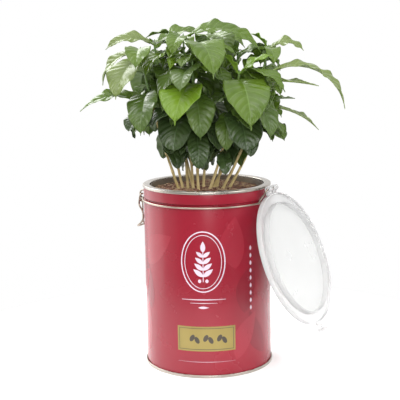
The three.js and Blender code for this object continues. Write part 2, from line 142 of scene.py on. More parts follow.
def newGroup(name, inputs, outputs):
    group = bpy.data.node_groups.new(name, "ShaderNodeTree")
    for label, kind, value in inputs:
        socket = group.interface.new_socket(name=label, in_out="INPUT", socket_type="NodeSocket" + kind)
        socket.default_value = value
    for label, kind in outputs:
        group.interface.new_socket(name=label, in_out="OUTPUT", socket_type="NodeSocket" + kind)
    return group, group.nodes.new("NodeGroupInput"), group.nodes.new("NodeGroupOutput")


# A cloud on Object coordinates, drawn out along an axis where a stretch is given
def addNoise(group, inside, detail, stretched=False):
    place = group.nodes.new("ShaderNodeTexCoord").outputs["Object"]
    if stretched:
        stretch = group.nodes.new("ShaderNodeMapping")
        group.links.new(place, stretch.inputs["Vector"])
        group.links.new(inside.outputs["Stretch"], stretch.inputs["Scale"])
        place = stretch.outputs["Vector"]
    texture = group.nodes.new("ShaderNodeTexNoise")
    texture.inputs["Detail"].default_value = detail
    group.links.new(place, texture.inputs["Vector"])
    group.links.new(inside.outputs["Scale"], texture.inputs["Scale"])
    return texture.outputs["Fac"]


# Two tones mixed by a soft cloud
def makeToneGroup():
    group, inside, outside = newGroup(
        "toneVariation",
        [("Tone A", "Color", (0.5, 0.5, 0.5, 1)), ("Tone B", "Color", (0.5, 0.5, 0.5, 1)),
         ("Scale", "Float", 30)],
        [("Tone", "Color")])
    cloud = addNoise(group, inside, effects["toneDetail"])
    spread = group.nodes.new("ShaderNodeMapRange")
    spread.inputs["From Min"].default_value, spread.inputs["From Max"].default_value = effects["toneEdges"]
    group.links.new(cloud, spread.inputs["Value"])
    mix = group.nodes.new("ShaderNodeMix")
    mix.data_type = "RGBA"
    group.links.new(spread.outputs["Result"], mix.inputs["Factor"])
    # A colour mix has its two tones at inputs 6 and 7 and its result at output 2
    group.links.new(inside.outputs["Tone A"], mix.inputs[6])
    group.links.new(inside.outputs["Tone B"], mix.inputs[7])
    group.links.new(mix.outputs[2], outside.inputs["Tone"])
    return group


# Smudges and handling marks in the gloss
def makeGlossGroup():
    group, inside, outside = newGroup(
        "glossVariation",
        [("Smooth", "Float", 0.2), ("Rough", "Float", 0.4), ("Scale", "Float", 60)],
        [("Roughness", "Float")])
    cloud = addNoise(group, inside, effects["glossDetail"])
    spread = group.nodes.new("ShaderNodeMapRange")
    group.links.new(cloud, spread.inputs["Value"])
    group.links.new(inside.outputs["Smooth"], spread.inputs["To Min"])
    group.links.new(inside.outputs["Rough"], spread.inputs["To Max"])
    group.links.new(spread.outputs["Result"], outside.inputs["Roughness"])
    return group


# Fine grain for a Bump node
def makeGrainGroup():
    group, inside, outside = newGroup(
        "fineGrain", [("Scale", "Float", 400), ("Stretch", "Vector", (1, 1, 1))], [("Height", "Float")])
    grain = addNoise(group, inside, effects["grainDetail"], stretched=True)
    group.links.new(grain, outside.inputs["Height"])
    return group


toneGroup = makeToneGroup()
glossGroup = makeGlossGroup()
grainGroup = makeGrainGroup()


def placeGroup(material, group, values):
    node = material.node_tree.nodes.new("ShaderNodeGroup")
    node.node_tree = group
    for label, value in values.items():
        node.inputs[label].default_value = value
    return node


# look: tones, toneScale, smooth, rough, glossScale, grainScale, grainHeight, stretch and plain shader sockets
def makeMaterial(name, look):
    material = bpy.data.materials.new(name)
    material.use_nodes = True
    links = material.node_tree.links
    shader = material.node_tree.nodes["Principled BSDF"]
    tones = look["tones"]
    tone = placeGroup(material, toneGroup, {"Tone A": (*tones[0], 1), "Tone B": (*tones[1], 1),
                                            "Scale": look.get("toneScale", 30)})
    links.new(tone.outputs["Tone"], shader.inputs["Base Color"])
    gloss = placeGroup(material, glossGroup, {"Smooth": look["smooth"], "Rough": look["rough"],
                                              "Scale": look.get("glossScale", 60)})
    links.new(gloss.outputs["Roughness"], shader.inputs["Roughness"])
    if look.get("grainHeight"):
        grain = placeGroup(material, grainGroup, {"Scale": look["grainScale"],
                                                  "Stretch": look.get("stretch", (1, 1, 1))})
        bump = material.node_tree.nodes.new("ShaderNodeBump")
        bump.inputs["Distance"].default_value = look["grainHeight"] * mm
        links.new(grain.outputs["Height"], bump.inputs["Height"])
        links.new(bump.outputs["Normal"], shader.inputs["Normal"])
    for label, value in look.get("sockets", {}).items():
        shader.inputs[label].default_value = value
    material.diffuse_color = (*tones[0], 1)
    return material


looks = {
    "lacquer": {"tones": [(0.236, 0.004, 0.017), (0.262, 0.006, 0.020)],
                "toneScale": 14, "smooth": 0.2, "rough": 0.32, "glossScale": 45, "grainScale": 220,
                "grainHeight": 0.02},
    "lacquerShade": {"tones": [(0.195, 0.003, 0.014), (0.209, 0.004, 0.016)],
                     "toneScale": 20, "smooth": 0.2, "rough": 0.32, "glossScale": 45},
    "lacquerLight": {"tones": [(0.28, 0.012, 0.027), (0.297, 0.014, 0.03)],
                     "toneScale": 20, "smooth": 0.2, "rough": 0.32, "glossScale": 45},
    "whitePrint": {"tones": [(0.60, 0.50, 0.60), (0.66, 0.57, 0.66)],
                   "toneScale": 60, "smooth": 0.25, "rough": 0.35},
    "goldPrint": {"tones": [(0.27, 0.205, 0.055), (0.30, 0.23, 0.068)],
                  "toneScale": 50, "smooth": 0.3, "rough": 0.42, "sockets": {"Metallic": 0.25}},
    "darkPrint": {"tones": [(0.045, 0.035, 0.025), (0.06, 0.045, 0.03)],
                  "toneScale": 60, "smooth": 0.35, "rough": 0.45},
    "rolledSteel": {"tones": [(0.39, 0.355, 0.31), (0.49, 0.455, 0.41)],
                    "toneScale": 25, "smooth": 0.2, "rough": 0.36, "glossScale": 80, "grainScale": 500,
                    "grainHeight": 0.015, "sockets": {"Metallic": 1.0}},
    "platedWire": {"tones": [(0.31, 0.26, 0.21), (0.43, 0.37, 0.31)],
                   "toneScale": 60, "smooth": 0.22, "rough": 0.4, "glossScale": 120,
                   "sockets": {"Metallic": 1.0}},
    "clearPlastic": {"tones": [(0.79, 0.79, 0.79), (0.85, 0.85, 0.85)],
                     "toneScale": 12, "smooth": 0.1, "rough": 0.22, "glossScale": 25,
                     "sockets": {"Transmission Weight": 0.6, "IOR": 1.4}},
    "milkyPanel": {"tones": [(0.70, 0.705, 0.70), (0.73, 0.735, 0.73)],
                   "toneScale": 12, "smooth": 0.2, "rough": 0.32, "glossScale": 25,
                   "sockets": {"Transmission Weight": 0.25, "IOR": 1.4}},
    "potPlastic": {"tones": [(0.115, 0.088, 0.062), (0.19, 0.15, 0.105)],
                   "toneScale": 40, "smooth": 0.5, "rough": 0.7, "grainScale": 700, "grainHeight": 0.08},
    "earth": {"tones": [(0.08, 0.030, 0.017), (0.25, 0.112, 0.072)],
              "toneScale": 260, "smooth": 0.8, "rough": 0.95, "grainScale": 900, "grainHeight": 0.5},
    "earthCrumb": {"tones": [(0.11, 0.045, 0.028), (0.30, 0.16, 0.11)],
                   "toneScale": 180, "smooth": 0.8, "rough": 0.95, "grainScale": 900,
                   "grainHeight": 0.3},
    "fibre": {"tones": [(0.30, 0.19, 0.11), (0.46, 0.33, 0.2)],
              "toneScale": 120, "smooth": 0.7, "rough": 0.9},
    "bark": {"tones": [(0.41, 0.31, 0.12), (0.60, 0.48, 0.23)],
             "toneScale": 90, "smooth": 0.5, "rough": 0.7, "grainScale": 500, "grainHeight": 0.25,
             "stretch": (1, 1, 0.25)},
    "shoot": {"tones": [(0.10, 0.19, 0.045), (0.17, 0.27, 0.06)],
              "toneScale": 90, "smooth": 0.35, "rough": 0.5, "grainScale": 500, "grainHeight": 0.1,
              "stretch": (1, 1, 0.25)},
}

# Leaf colours: each tint has a face, a paler underside and veins
leafTints = {
    # This tint is the outer leaves' lighter green with painted sheen: its greyer green stands in for the
    # whitish sheen on them
    "pale": {"face": [(0.114, 0.158, 0.036), (0.140, 0.188, 0.048)], "vein": (0.17, 0.225, 0.08)},
    "young": {"face": [(0.105, 0.190, 0.012), (0.14, 0.235, 0.018)], "vein": (0.17, 0.27, 0.045)},
    "fresh": {"face": [(0.061, 0.110, 0.008), (0.082, 0.138, 0.012)], "vein": (0.105, 0.172, 0.032)},
    "mid": {"face": [(0.052, 0.092, 0.014), (0.074, 0.120, 0.020)], "vein": (0.09, 0.15, 0.04)},
    # This tint is the old, low leaves' deeper green, darkened further as painted shade for their place under
    # the crown
    "dark": {"face": [(0.028, 0.050, 0.014), (0.042, 0.069, 0.019)], "vein": (0.06, 0.105, 0.036)},
}
leafFinish = {"shine": 0.36, "underGain": 1.6, "underGrey": 0.01, "veinGain": 1.15,
              "face": {"smooth": 0.2, "rough": 0.38}, "under": {"smooth": 0.4, "rough": 0.55},
              "vein": {"smooth": 0.25, "rough": 0.4},
              "shared": {"toneScale": 45, "glossScale": 70, "grainScale": 260, "grainHeight": 0.22}}


def leafLooks():
    made = {}
    shared = {**leafFinish["shared"], "sockets": {"Specular IOR Level": leafFinish["shine"]}}
    for tint, colours in leafTints.items():
        under = [tuple(channel * leafFinish["underGain"] + leafFinish["underGrey"] for channel in tone)
                 for tone in colours["face"]]
        lighterVein = tuple(channel * leafFinish["veinGain"] for channel in colours["vein"])
        made[tint + "Leaf"] = {**shared, **leafFinish["face"], "tones": colours["face"]}
        made[tint + "Under"] = {**shared, **leafFinish["under"], "tones": under}
        made[tint + "Vein"] = {**shared, **leafFinish["vein"], "tones": [colours["vein"], lighterVein]}
    return made


materials = {name: makeMaterial(name, look) for name, look in {**looks, **leafLooks()}.items()}


# Modelling helpers

def deselectAll():
    bpy.ops.object.select_all(action="DESELECT")


def finishPiece(piece, body, material, nodes=(), smoothAngle=35):
    deselectAll()
    piece.select_set(True)
    bpy.context.view_layer.objects.active = piece
    piece.data.name = piece.name
    if material:
        piece.data.materials.clear()
        piece.data.materials.append(materials[material])
    bpy.ops.object.transform_apply(location=True, rotation=True, scale=True)
    if smoothAngle:
        bpy.ops.object.shade_smooth_by_angle(angle=radians(smoothAngle))
    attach(piece, body)
    if nodes:
        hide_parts(*nodes)
    return piece


cornerShare = 0.45      # how much of a side a rounded corner may take up


# Rounds each corner of a closed outline by up to a radius
def softened(points, radius, steps=4):
    made = []
    count = len(points)
    for index, point in enumerate(points):
        corner = Vector(point)
        before = Vector(points[index - 1])
        after = Vector(points[(index + 1) % count])
        if corner.x == 0:
            made.append(tuple(corner))
            continue
        reachBack = min(radius, (before - corner).length * cornerShare)
        reachOn = min(radius, (after - corner).length * cornerShare)
        start = corner + (before - corner).normalized() * reachBack
        end = corner + (after - corner).normalized() * reachOn
        for step in range(steps + 1):
            share = step / steps
            made.append(tuple(start.lerp(corner, share).lerp(corner.lerp(end, share), share)))
    return made


# Spins a profile of (radius, height) in millimetres about Z
def spunPiece(name, profile, steps=160):
    deselectAll()
    bpy.ops.mesh.primitive_plane_add(size=mm, location=(0, 0, 0))
    piece = bpy.context.object
    piece.name = name
    bpy.ops.object.mode_set(mode="EDIT")
    bpy.ops.mesh.select_all(action="SELECT")
    bpy.ops.mesh.merge(type="CENTER")
    bpy.ops.transform.translate(value=(profile[0][0] * mm, 0, profile[0][1] * mm))
    ends = profile[1:] + profile[:1] if profile[0][0] > 0 else profile[1:]
    for (radius, height), (nextRadius, nextHeight) in zip(profile, ends):
        step = ((nextRadius - radius) * mm, 0, (nextHeight - height) * mm)
        bpy.ops.mesh.extrude_vertices_move(TRANSFORM_OT_translate={"value": step})
    bpy.ops.mesh.select_all(action="SELECT")
    bpy.ops.mesh.spin(steps=steps, angle=2 * math.pi, center=(0, 0, 0), axis=(0, 0, 1))
    bpy.ops.mesh.select_all(action="SELECT")
    bpy.ops.mesh.remove_doubles(threshold=noGap)
    bpy.ops.mesh.normals_make_consistent(inside=False)
    bpy.ops.object.mode_set(mode="OBJECT")
    return piece


wireRoundness = 4       # bevel resolution of a wire's section


# A round wire through its points, in millimetres
def wirePiece(name, points, radius, cyclic=False, resolution=6):
    deselectAll()
    bpy.ops.curve.primitive_bezier_curve_add(location=(0, 0, 0))
    piece = bpy.context.object
    piece.name = name
    spline = piece.data.splines[0]
    spline.bezier_points.add(len(points) - 2)
    for knot, point in zip(spline.bezier_points, points):
        knot.co = Vector(point) * mm
        knot.handle_left_type = knot.handle_right_type = "AUTO"
    spline.use_cyclic_u = cyclic
    piece.data.dimensions = "3D"
    piece.data.resolution_u = resolution
    piece.data.bevel_depth = radius * mm
    piece.data.bevel_resolution = wireRoundness
    piece.data.use_fill_caps = not cyclic
    bpy.ops.object.convert(target="MESH")
    return bpy.context.object


def joined(name, pieces):
    deselectAll()
    for piece in pieces:
        piece.select_set(True)
    bpy.context.view_layer.objects.active = pieces[0]
    bpy.ops.object.join()
    whole = bpy.context.object
    whole.name = name
    return whole


def applyModifier(piece, kind, **settings):
    deselectAll()
    piece.select_set(True)
    bpy.context.view_layer.objects.active = piece
    modifier = piece.modifiers.new(kind.lower(), kind)
    for label, value in settings.items():
        setattr(modifier, label, value)
    bpy.ops.object.modifier_apply(modifier=modifier.name)


def applyBoolean(piece, tool, operation):
    applyModifier(piece, "BOOLEAN", object=tool, operation=operation, solver="EXACT")
    bpy.data.objects.remove(tool, do_unlink=True)


def turned(point, azimuth):
    x, y, z = point
    c, s = math.cos(radians(azimuth)), math.sin(radians(azimuth))
    return (x * c - y * s, x * s + y * c, z)


# The tin

tin = {"radius": 61.5, "floor": 1.2, "height": 175.3, "grooveFoot": 163.2, "grooveTop": 165.4,
       "grooveDepth": 1.9, "grooveSlope": 0.5, "insideGroove": 0.4, "softness": 0.35}
seam = {"azimuth": 97, "halfWidth": 3.2, "lift": 0.16, "foot": 3.4, "top": 174.4}
rim = {"outer": 62.4, "inner": 55.5, "top": 177.5, "lipDepth": 2.4, "thickness": 1.9, "clear": 0.3,
       "softness": 0.9}
foot = {"inner": 61.8, "outer": 63.0, "height": 2.8, "softness": 0.6}
liner = {"topRadius": 54.9, "footRadius": 50, "wall": 1, "top": 176.2, "base": 1.5, "softness": 0.4}


def makeTin():
    radius, slope = tin["radius"], tin["grooveSlope"]
    groove = radius - tin["grooveDepth"]
    outside = [(radius, 0), (radius, tin["grooveFoot"]), (groove, tin["grooveFoot"] + slope),
               (groove, tin["grooveTop"] - slope), (radius, tin["grooveTop"]), (radius, tin["height"])]
    inner = groove - tin["insideGroove"]
    inside = [(inner, tin["height"]), (inner, tin["floor"]), (0, tin["floor"])]
    profile = softened([(0, 0), *outside, *inside], tin["softness"])
    finishPiece(spunPiece("tinShell", profile, 192), "tin", "lacquer", ["tin_body"])


def makeSeam():
    deselectAll()
    bpy.ops.mesh.primitive_grid_add(x_subdivisions=6, y_subdivisions=2, size=1)
    strip = bpy.context.object
    strip.name = "sideSeam"
    for vertex in strip.data.vertices:
        across = vertex.co.x * 2 * seam["halfWidth"]
        height = seam["foot"] + (vertex.co.y + 0.5) * (seam["top"] - seam["foot"])
        isEdge = abs(vertex.co.x) > 0.49
        reach = tin["radius"] + (0.0 if isEdge else seam["lift"])
        vertex.co = Vector(turned((reach, across, height), seam["azimuth"])) * mm
    finishPiece(strip, "tin", "lacquerShade")


def makeRims():
    low, under = rim["top"] - rim["lipDepth"], rim["top"] - rim["thickness"]
    reach = tin["radius"] + rim["clear"]
    rolled = [(rim["outer"], low), (rim["outer"], rim["top"]), (rim["inner"], rim["top"]),
              (rim["inner"], under), (reach, under), (reach, low)]
    bead = [(foot["outer"], 0), (foot["outer"], foot["height"]),
            (foot["inner"], foot["height"]), (foot["inner"], 0)]
    for name, section, softness, node in (("rolledRim", rolled, rim["softness"], "rim_ring"),
                                          ("bottomBead", bead, foot["softness"], "foot_ring")):
        ring = spunPiece(name, softened(section, softness, 6), 192)
        finishPiece(ring, "tin", "rolledSteel", [node])


def linerRadius(height):
    share = (height - liner["base"]) / (liner["top"] - liner["base"])
    return liner["footRadius"] + (liner["topRadius"] - liner["footRadius"]) * share


def makeLiner():
    wall = liner["wall"]
    inside = liner["base"] + wall
    profile = [(0, liner["base"]), (liner["footRadius"], liner["base"]), (liner["topRadius"], liner["top"]),
               (liner["topRadius"] - wall, liner["top"]), (linerRadius(inside) - wall, inside), (0, inside)]
    pot = spunPiece("nurseryPot", softened(profile, liner["softness"]), 128)
    finishPiece(pot, "tin", "potPlastic", ["grower_pot"])


# Printed ornament: flat drawings in X (along the wall) and Z (up), in millimetres, wrapped round the tin

printSetup = {"front": -90, "lift": 0.05, "thickness": 0.06, "overPanel": 0.02}
medallion = {"across": -5, "height": 112, "halfWidth": 20.5, "halfHeight": 28.5, "line": 1.1, "innerGap": 3.2,
             "innerLine": 0.6}
# Heights in the medallion count from its middle
sprig = {"low": -19, "high": 10, "line": 0.7, "pairs": 4, "firstPair": -14, "pitch": 6.2, "length": 11.5,
         "shorter": 1.1, "width": 4.4, "narrower": 0.3, "turn": 52, "topLeaf": (9, 10.5, 4.6),
         "berryAside": 3.4, "berryHeight": -18.2, "berry": (1.5, 1.7)}
underOval = {"lines": [(21, -36, 1.0), (13, -39.4, 0.6)], "taper": 0.6, "leafAside": -5, "leafHeight": -43.6,
             "leaf": (10, 2.2)}
footLine = {"left": -26, "right": 30, "height": 15.5, "line": 0.32, "taper": 0.7}
lozenges = {"count": 9, "across": 43, "first": 62, "pitch": 7.2, "length": 4.6, "width": 2.4, "columns": 4}
panel = {"across": -3, "height": 38, "width": 56, "tall": 24, "frameInset": 1.8, "frameLine": 0.5}
# Each pair of beans: how far aside and up each one lies, and its turn
beans = {"pitch": 13, "size": (3.6, 2.1), "pair": [(-0.5, 0.8, 62), (4.2, -1.2, 118)]}


def wrapOnTin(piece, lift):
    for vertex in piece.data.vertices:
        angle = printSetup["front"] + math.degrees(vertex.co.x / (tin["radius"] * mm))
        reach = tin["radius"] + lift
        vertex.co = Vector(turned((reach, 0, vertex.co.z / mm), angle)) * mm


def finishPrint(piece, material, lift):
    wrapOnTin(piece, lift)
    applyModifier(piece, "SOLIDIFY", thickness=printSetup["thickness"] * mm, offset=1)
    finishPiece(piece, "tin", material)


# A flat grid in the drawing's plane, bent by a rule from its own -0.5..0.5 coordinates
def drawnGrid(name, columns, rows, rule):
    deselectAll()
    bpy.ops.mesh.primitive_grid_add(x_subdivisions=columns, y_subdivisions=rows, size=1)
    piece = bpy.context.object
    piece.name = name
    for vertex in piece.data.vertices:
        x, z = rule(vertex.co.x, vertex.co.y)
        vertex.co = Vector((x, 0, z)) * mm
    return piece


def ovalLine(name, centre, halfWidth, halfHeight, line):
    def rule(around, across):
        angle = 2 * math.pi * around
        return (centre[0] + (halfWidth + line * across) * math.sin(angle),
                centre[1] + (halfHeight + line * across) * math.cos(angle))
    return drawnGrid(name, 120, 1, rule)


def straightLine(name, start, end, line, taper=0.0):
    way = Vector((end[0] - start[0], end[1] - start[1]))
    side = Vector((-way.y, way.x)).normalized()

    def rule(along, across):
        width = line * (1 - taper * abs(2 * along))
        point = Vector(start) + way * (along + 0.5) + side * width * across
        return point.x, point.y
    return drawnGrid(name, max(2, int(way.length / 2)), 1, rule)


# A leaf shape from its foot to its tip
def leafPatch(name, start, turn, length, width, columns=14, bend=0.0):
    ahead = Vector((math.cos(radians(turn)), math.sin(radians(turn))))
    side = Vector((-ahead.y, ahead.x))

    def rule(along, across):
        share = along + 0.5
        half = width / 2 * math.sin(math.pi * share ** 0.85) ** 0.9 if 0 < share < 1 else 0.02
        aside = 2 * across * half + bend * math.sin(math.pi * share)
        point = Vector(start) + ahead * length * share + side * aside
        return point.x, point.y
    return drawnGrid(name, columns, 4, rule)


def discPatch(name, centre, halfWidth, halfHeight, turn=0):
    def rule(along, across):
        angle = 2 * math.pi * along
        reach = across + 0.5
        x, z = halfWidth * reach * math.cos(angle), halfHeight * reach * math.sin(angle)
        c, s = math.cos(radians(turn)), math.sin(radians(turn))
        return centre[0] + x * c - z * s, centre[1] + x * s + z * c
    return drawnGrid(name, 24, 3, rule)


def makeWhitePrint():
    x, z = medallion["across"], medallion["height"]
    wide, tall, inner = medallion["halfWidth"], medallion["halfHeight"], medallion["innerGap"]
    white = [ovalLine("line", (x, z), wide, tall, medallion["line"]),
             ovalLine("line", (x, z), wide - inner, tall - inner, medallion["innerLine"]),
             straightLine("line", (x, z + sprig["low"]), (x, z + sprig["high"]), sprig["line"])]
    for row in range(sprig["pairs"]):                  # pairs of leaves up the sprig
        start = (x, z + sprig["firstPair"] + sprig["pitch"] * row)
        length = sprig["length"] - sprig["shorter"] * row
        width = sprig["width"] - sprig["narrower"] * row
        for side in (-1, 1):
            white.append(leafPatch("leaf", start, 90 - side * sprig["turn"], length, width))
    rise, length, width = sprig["topLeaf"]
    white.append(leafPatch("leaf", (x, z + rise), 90, length, width))
    for side in (-1, 1):                               # berries at the foot of the sprig
        centre = (x + side * sprig["berryAside"], z + sprig["berryHeight"])
        white.append(discPatch("berry", centre, *sprig["berry"]))
    for half, rise, line in underOval["lines"]:
        ends = ((x - half, z + rise), (x + half, z + rise))
        white.append(straightLine("rule", *ends, line, underOval["taper"]))
    start = (x + underOval["leafAside"], z + underOval["leafHeight"])
    white.append(leafPatch("leaf", start, 0, *underOval["leaf"]))
    ends = [(x + aside, footLine["height"]) for aside in (footLine["left"], footLine["right"])]
    white.append(straightLine("rule", *ends, footLine["line"], footLine["taper"]))
    length, width, columns = lozenges["length"], lozenges["width"], lozenges["columns"]
    for row in range(lozenges["count"]):               # a column of small lozenges at the right
        start = (lozenges["across"], lozenges["first"] + lozenges["pitch"] * row)
        white.append(leafPatch("lozenge", start, 90, length, width, columns))
    finishPrint(joined("whiteOrnament", white), "whitePrint", printSetup["lift"])


def makePanel():
    x, z = panel["across"], panel["height"]
    width, tall = panel["width"], panel["tall"]
    plate = drawnGrid("goldPanel", 40, 8, lambda u, v: (x + u * width, z + v * tall))
    finishPrint(plate, "goldPrint", printSetup["lift"])
    wide, high = width / 2 - panel["frameInset"], tall / 2 - panel["frameInset"]
    line = panel["frameLine"]
    dark = [straightLine("line", (x - wide, z + side * high), (x + wide, z + side * high), line)
            for side in (-1, 1)]
    dark += [straightLine("line", (x + side * wide, z - high), (x + side * wide, z + high), line)
             for side in (-1, 1)]
    for step in (-1, 0, 1):                            # three pairs of beans
        for aside, rise, turn in beans["pair"]:
            centre = (x + beans["pitch"] * step + aside, z + rise)
            dark.append(discPatch("bean", centre, *beans["size"], turn))
    lift = printSetup["lift"] + printSetup["thickness"] + printSetup["overPanel"]
    finishPrint(joined("panelOrnament", dark), "darkPrint", lift)


# Broad leaves printed tone on tone all round the tin
toneLeaves = {"count": 9, "first": 34, "part": 0.83, "low": 30, "high": 118, "length": 62, "lengthShare": 0.8,
              "width": 25, "widthShare": 0.8, "widthStep": 0.1, "columns": 18, "bend": 3.0, "turn": 62,
              "turnStep": 26, "turnBack": 12, "aside": 9, "left": 8, "below": 14, "shadeLift": 0.02,
              "lightLift": 0.035}


def makeTonePrint():
    shade, light = [], []
    girth = 2 * math.pi * tin["radius"]
    heights = (toneLeaves["low"], (toneLeaves["low"] + toneLeaves["high"]) / 2, toneLeaves["high"])
    for index in range(toneLeaves["count"]):
        x = toneLeaves["first"] + girth * toneLeaves["part"] * index / toneLeaves["count"]
        for row, height in enumerate(heights):
            turn = toneLeaves["turn"] + toneLeaves["turnStep"] * ((index * 2 + row) % 3)
            turn -= toneLeaves["turnBack"] * row
            start = (x + toneLeaves["aside"] * (row % 2) - toneLeaves["left"], height - toneLeaves["below"])
            length = toneLeaves["length"] * toneLeaves["lengthShare"]
            width = toneLeaves["width"] * (toneLeaves["widthShare"] + toneLeaves["widthStep"] * row)
            target = shade if (index + row) % 2 else light
            target.append(leafPatch("leaf", start, turn, length, width, toneLeaves["columns"],
                                    toneLeaves["bend"]))
    finishPrint(joined("shadeLeaves", shade), "lacquerShade", toneLeaves["shadeLift"])
    finishPrint(joined("lightLeaves", light), "lacquerLight", toneLeaves["lightLift"])


# Neck wire, hinge loop, latch

wire = {"radius": 0.85, "ringHeight": 162.6, "ringRadius": 62.65, "ringSteps": 48}
hinge = {"azimuth": -28, "reach": 69, "height": 175.5, "halfSpan": 12.5, "openAngle": 248}
# The route is the lever below its crossbar: reach, how far inside the arm's side, and height
latch = {"azimuth": 152, "eyeReach": 66.3, "height": 163.5, "eyeRadius": 4, "eyeSide": 9.6,
         "pivotReach": 68.2, "pivotEnd": 8.2, "armSide": 12.6, "bend": 1.3, "wire": 0.9, "barReach": 69.7,
         "barHeight": 156.8,
         "route": [(70, 0, 153), (66.4, 0, 146.5), (65.6, 0, 140), (67.6, 0, 135.5), (72.2, 0.5, 131.4),
                   (73, 2.5, 130.8)]}
bail = {"side": 6.3, "drop": 23.5, "wire": 0.75, "eyeRadius": 2.1}
wireAngle = 60           # edges of the wires flatter than this are smooth


def circlePoints(centre, radius, count):
    x, y, z = centre
    return [(x + radius * math.cos(radians(360 * step / count)), y,
             z + radius * math.sin(radians(360 * step / count))) for step in range(count)]


# Points on both sides of an arm, across it and back, turned to where the arm stands
def loopPoints(arm, azimuth):
    return [turned(point, azimuth) for point in arm(-1) + arm(1)[::-1]]


def makeNeckWire():
    level = wire["ringHeight"]
    ring = [(wire["ringRadius"] * math.cos(2 * math.pi * step / wire["ringSteps"]),
             wire["ringRadius"] * math.sin(2 * math.pi * step / wire["ringSteps"]), level)
            for step in range(wire["ringSteps"])]
    parts = [wirePiece("ring", ring, wire["radius"], True, 4)]
    for side in (-1, 1):
        centre = (latch["eyeReach"], side * latch["eyeSide"], latch["height"])
        points = [turned(point, latch["azimuth"]) for point in circlePoints(centre, latch["eyeRadius"], 16)]
        parts.append(wirePiece("eye", points, wire["radius"], True, 4))
    ringAtArm = math.sqrt(wire["ringRadius"] ** 2 - hinge["halfSpan"] ** 2)
    reach, height, span = hinge["reach"], hinge["height"], hinge["halfSpan"]

    def arm(side):                                     # up from the ring, then round the bend to the pin
        return [(ringAtArm, side * span, level), (ringAtArm + 1.2, side * span, level + 3),
                (reach - 1.5, side * span, height - 3.5), (reach - 0.1, side * (span - 0.3), height - 1),
                (reach, side * (span - 1.2), height - 0.1), (reach, side * (span - 2.2), height),
                (reach, side * (span - 4), height)]
    parts.append(wirePiece("loop", loopPoints(arm, hinge["azimuth"]), wire["radius"], False, 8))
    finishPiece(joined("neckWire", parts), "tin", "platedWire", ["neck_wire"], wireAngle)


def makeLatch():
    reach, height, side = latch["pivotReach"], latch["height"], latch["armSide"]
    x, z = latch["barReach"], latch["barHeight"]

    def arm(sign):                                     # from the pivot's end down to the thumb loop
        return [(reach, sign * latch["pivotEnd"], height), (reach, sign * (side - 1.2), height),
                (reach + 0.2, sign * side, height - latch["bend"]), (x, sign * side, z),
                *[(out, sign * (side - inset), up) for out, inset, up in latch["route"]]]
    lever = wirePiece("lever", loopPoints(arm, latch["azimuth"]), latch["wire"])
    ends = [turned((x, end, z), latch["azimuth"]) for end in (-side, 0, side)]
    crossbar = wirePiece("crossbar", ends, latch["wire"])
    whole = joined("latchLever", [lever, crossbar])
    finishPiece(whole, "lever", "platedWire", ["latch_lever"], wireAngle)

    half, low = bail["side"], z - bail["drop"]

    def leg(sign):
        return [(x, sign * half, z - bail["eyeRadius"] + 0.2), (x, sign * half, z - bail["drop"] / 2),
                (x, sign * half, low + 2), (x, sign * (half - 0.6), low + 0.6), (x, sign * (half - 2), low)]
    parts = [wirePiece("loop", loopPoints(leg, latch["azimuth"]), bail["wire"])]
    for sign in (-1, 1):
        circle = circlePoints((x, sign * half, z), bail["eyeRadius"], 12)
        points = [turned(point, latch["azimuth"]) for point in circle]
        parts.append(wirePiece("eye", points, bail["wire"], True, 4))
    finishPiece(joined("latchBail", parts), "bail", "platedWire", ["latch_bail"], wireAngle)


# The lid, made in its own frame: X from the pin to the catch, Y along the pin, Z to its outer face

lid = {"radius": 64.2, "thickness": 2, "panel": 1.6, "lipWall": 1.3, "lipDepth": 3, "lift": 2.3,
       "skirtOuter": 54.8, "skirtWall": 1.4, "skirtDepth": 5.3, "edge": 0.8, "softness": 0.45,
       "milkyInset": 0.5}
knuckle = {"radius": 2.8, "bore": 1.2, "near": 2.5, "far": 10, "web": 1.8, "webShort": 1.2, "webShift": 1.6,
           "softness": 0.3}
catchTab = {"halfWidth": 5, "length": 9, "thickness": 2.4, "drop": 0.6, "hookDepth": 5, "overlap": 1,
            "softness": 0.6, "slit": (3.2, 7, 3), "slitBack": 0.5, "slitRise": 0.6}


def bevelledBox(name, size, place, bevel=0.0):
    deselectAll()
    bpy.ops.mesh.primitive_cube_add(size=1, location=Vector(place) * mm, scale=Vector(size) * mm)
    box = bpy.context.object
    box.name = name
    bpy.ops.object.transform_apply(location=True, rotation=True, scale=True)
    if bevel:
        applyModifier(box, "BEVEL", width=bevel * mm, segments=3)
    return box


def lidDisc():
    base, outer, radius = lid["lift"], lid["skirtOuter"], lid["radius"]
    top, panelTop = base + lid["thickness"], base + lid["panel"]
    skirtInner, lipInner = outer - lid["skirtWall"], radius - lid["lipWall"]
    skirtEnd, lipEnd = base - lid["skirtDepth"], base - lid["lipDepth"]
    profile = [(0, base), (skirtInner, base), (skirtInner, skirtEnd), (outer, skirtEnd), (outer, base),
               (lipInner, base), (lipInner, lipEnd), (radius, lipEnd), (radius, top),
               (outer + lid["edge"], top), (outer, panelTop), (0, panelTop)]
    disc = spunPiece("clearLid", softened(profile, lid["softness"], 3), 160)
    disc.data.transform(Matrix.Translation((hinge["reach"] * mm, 0, 0)))
    return disc


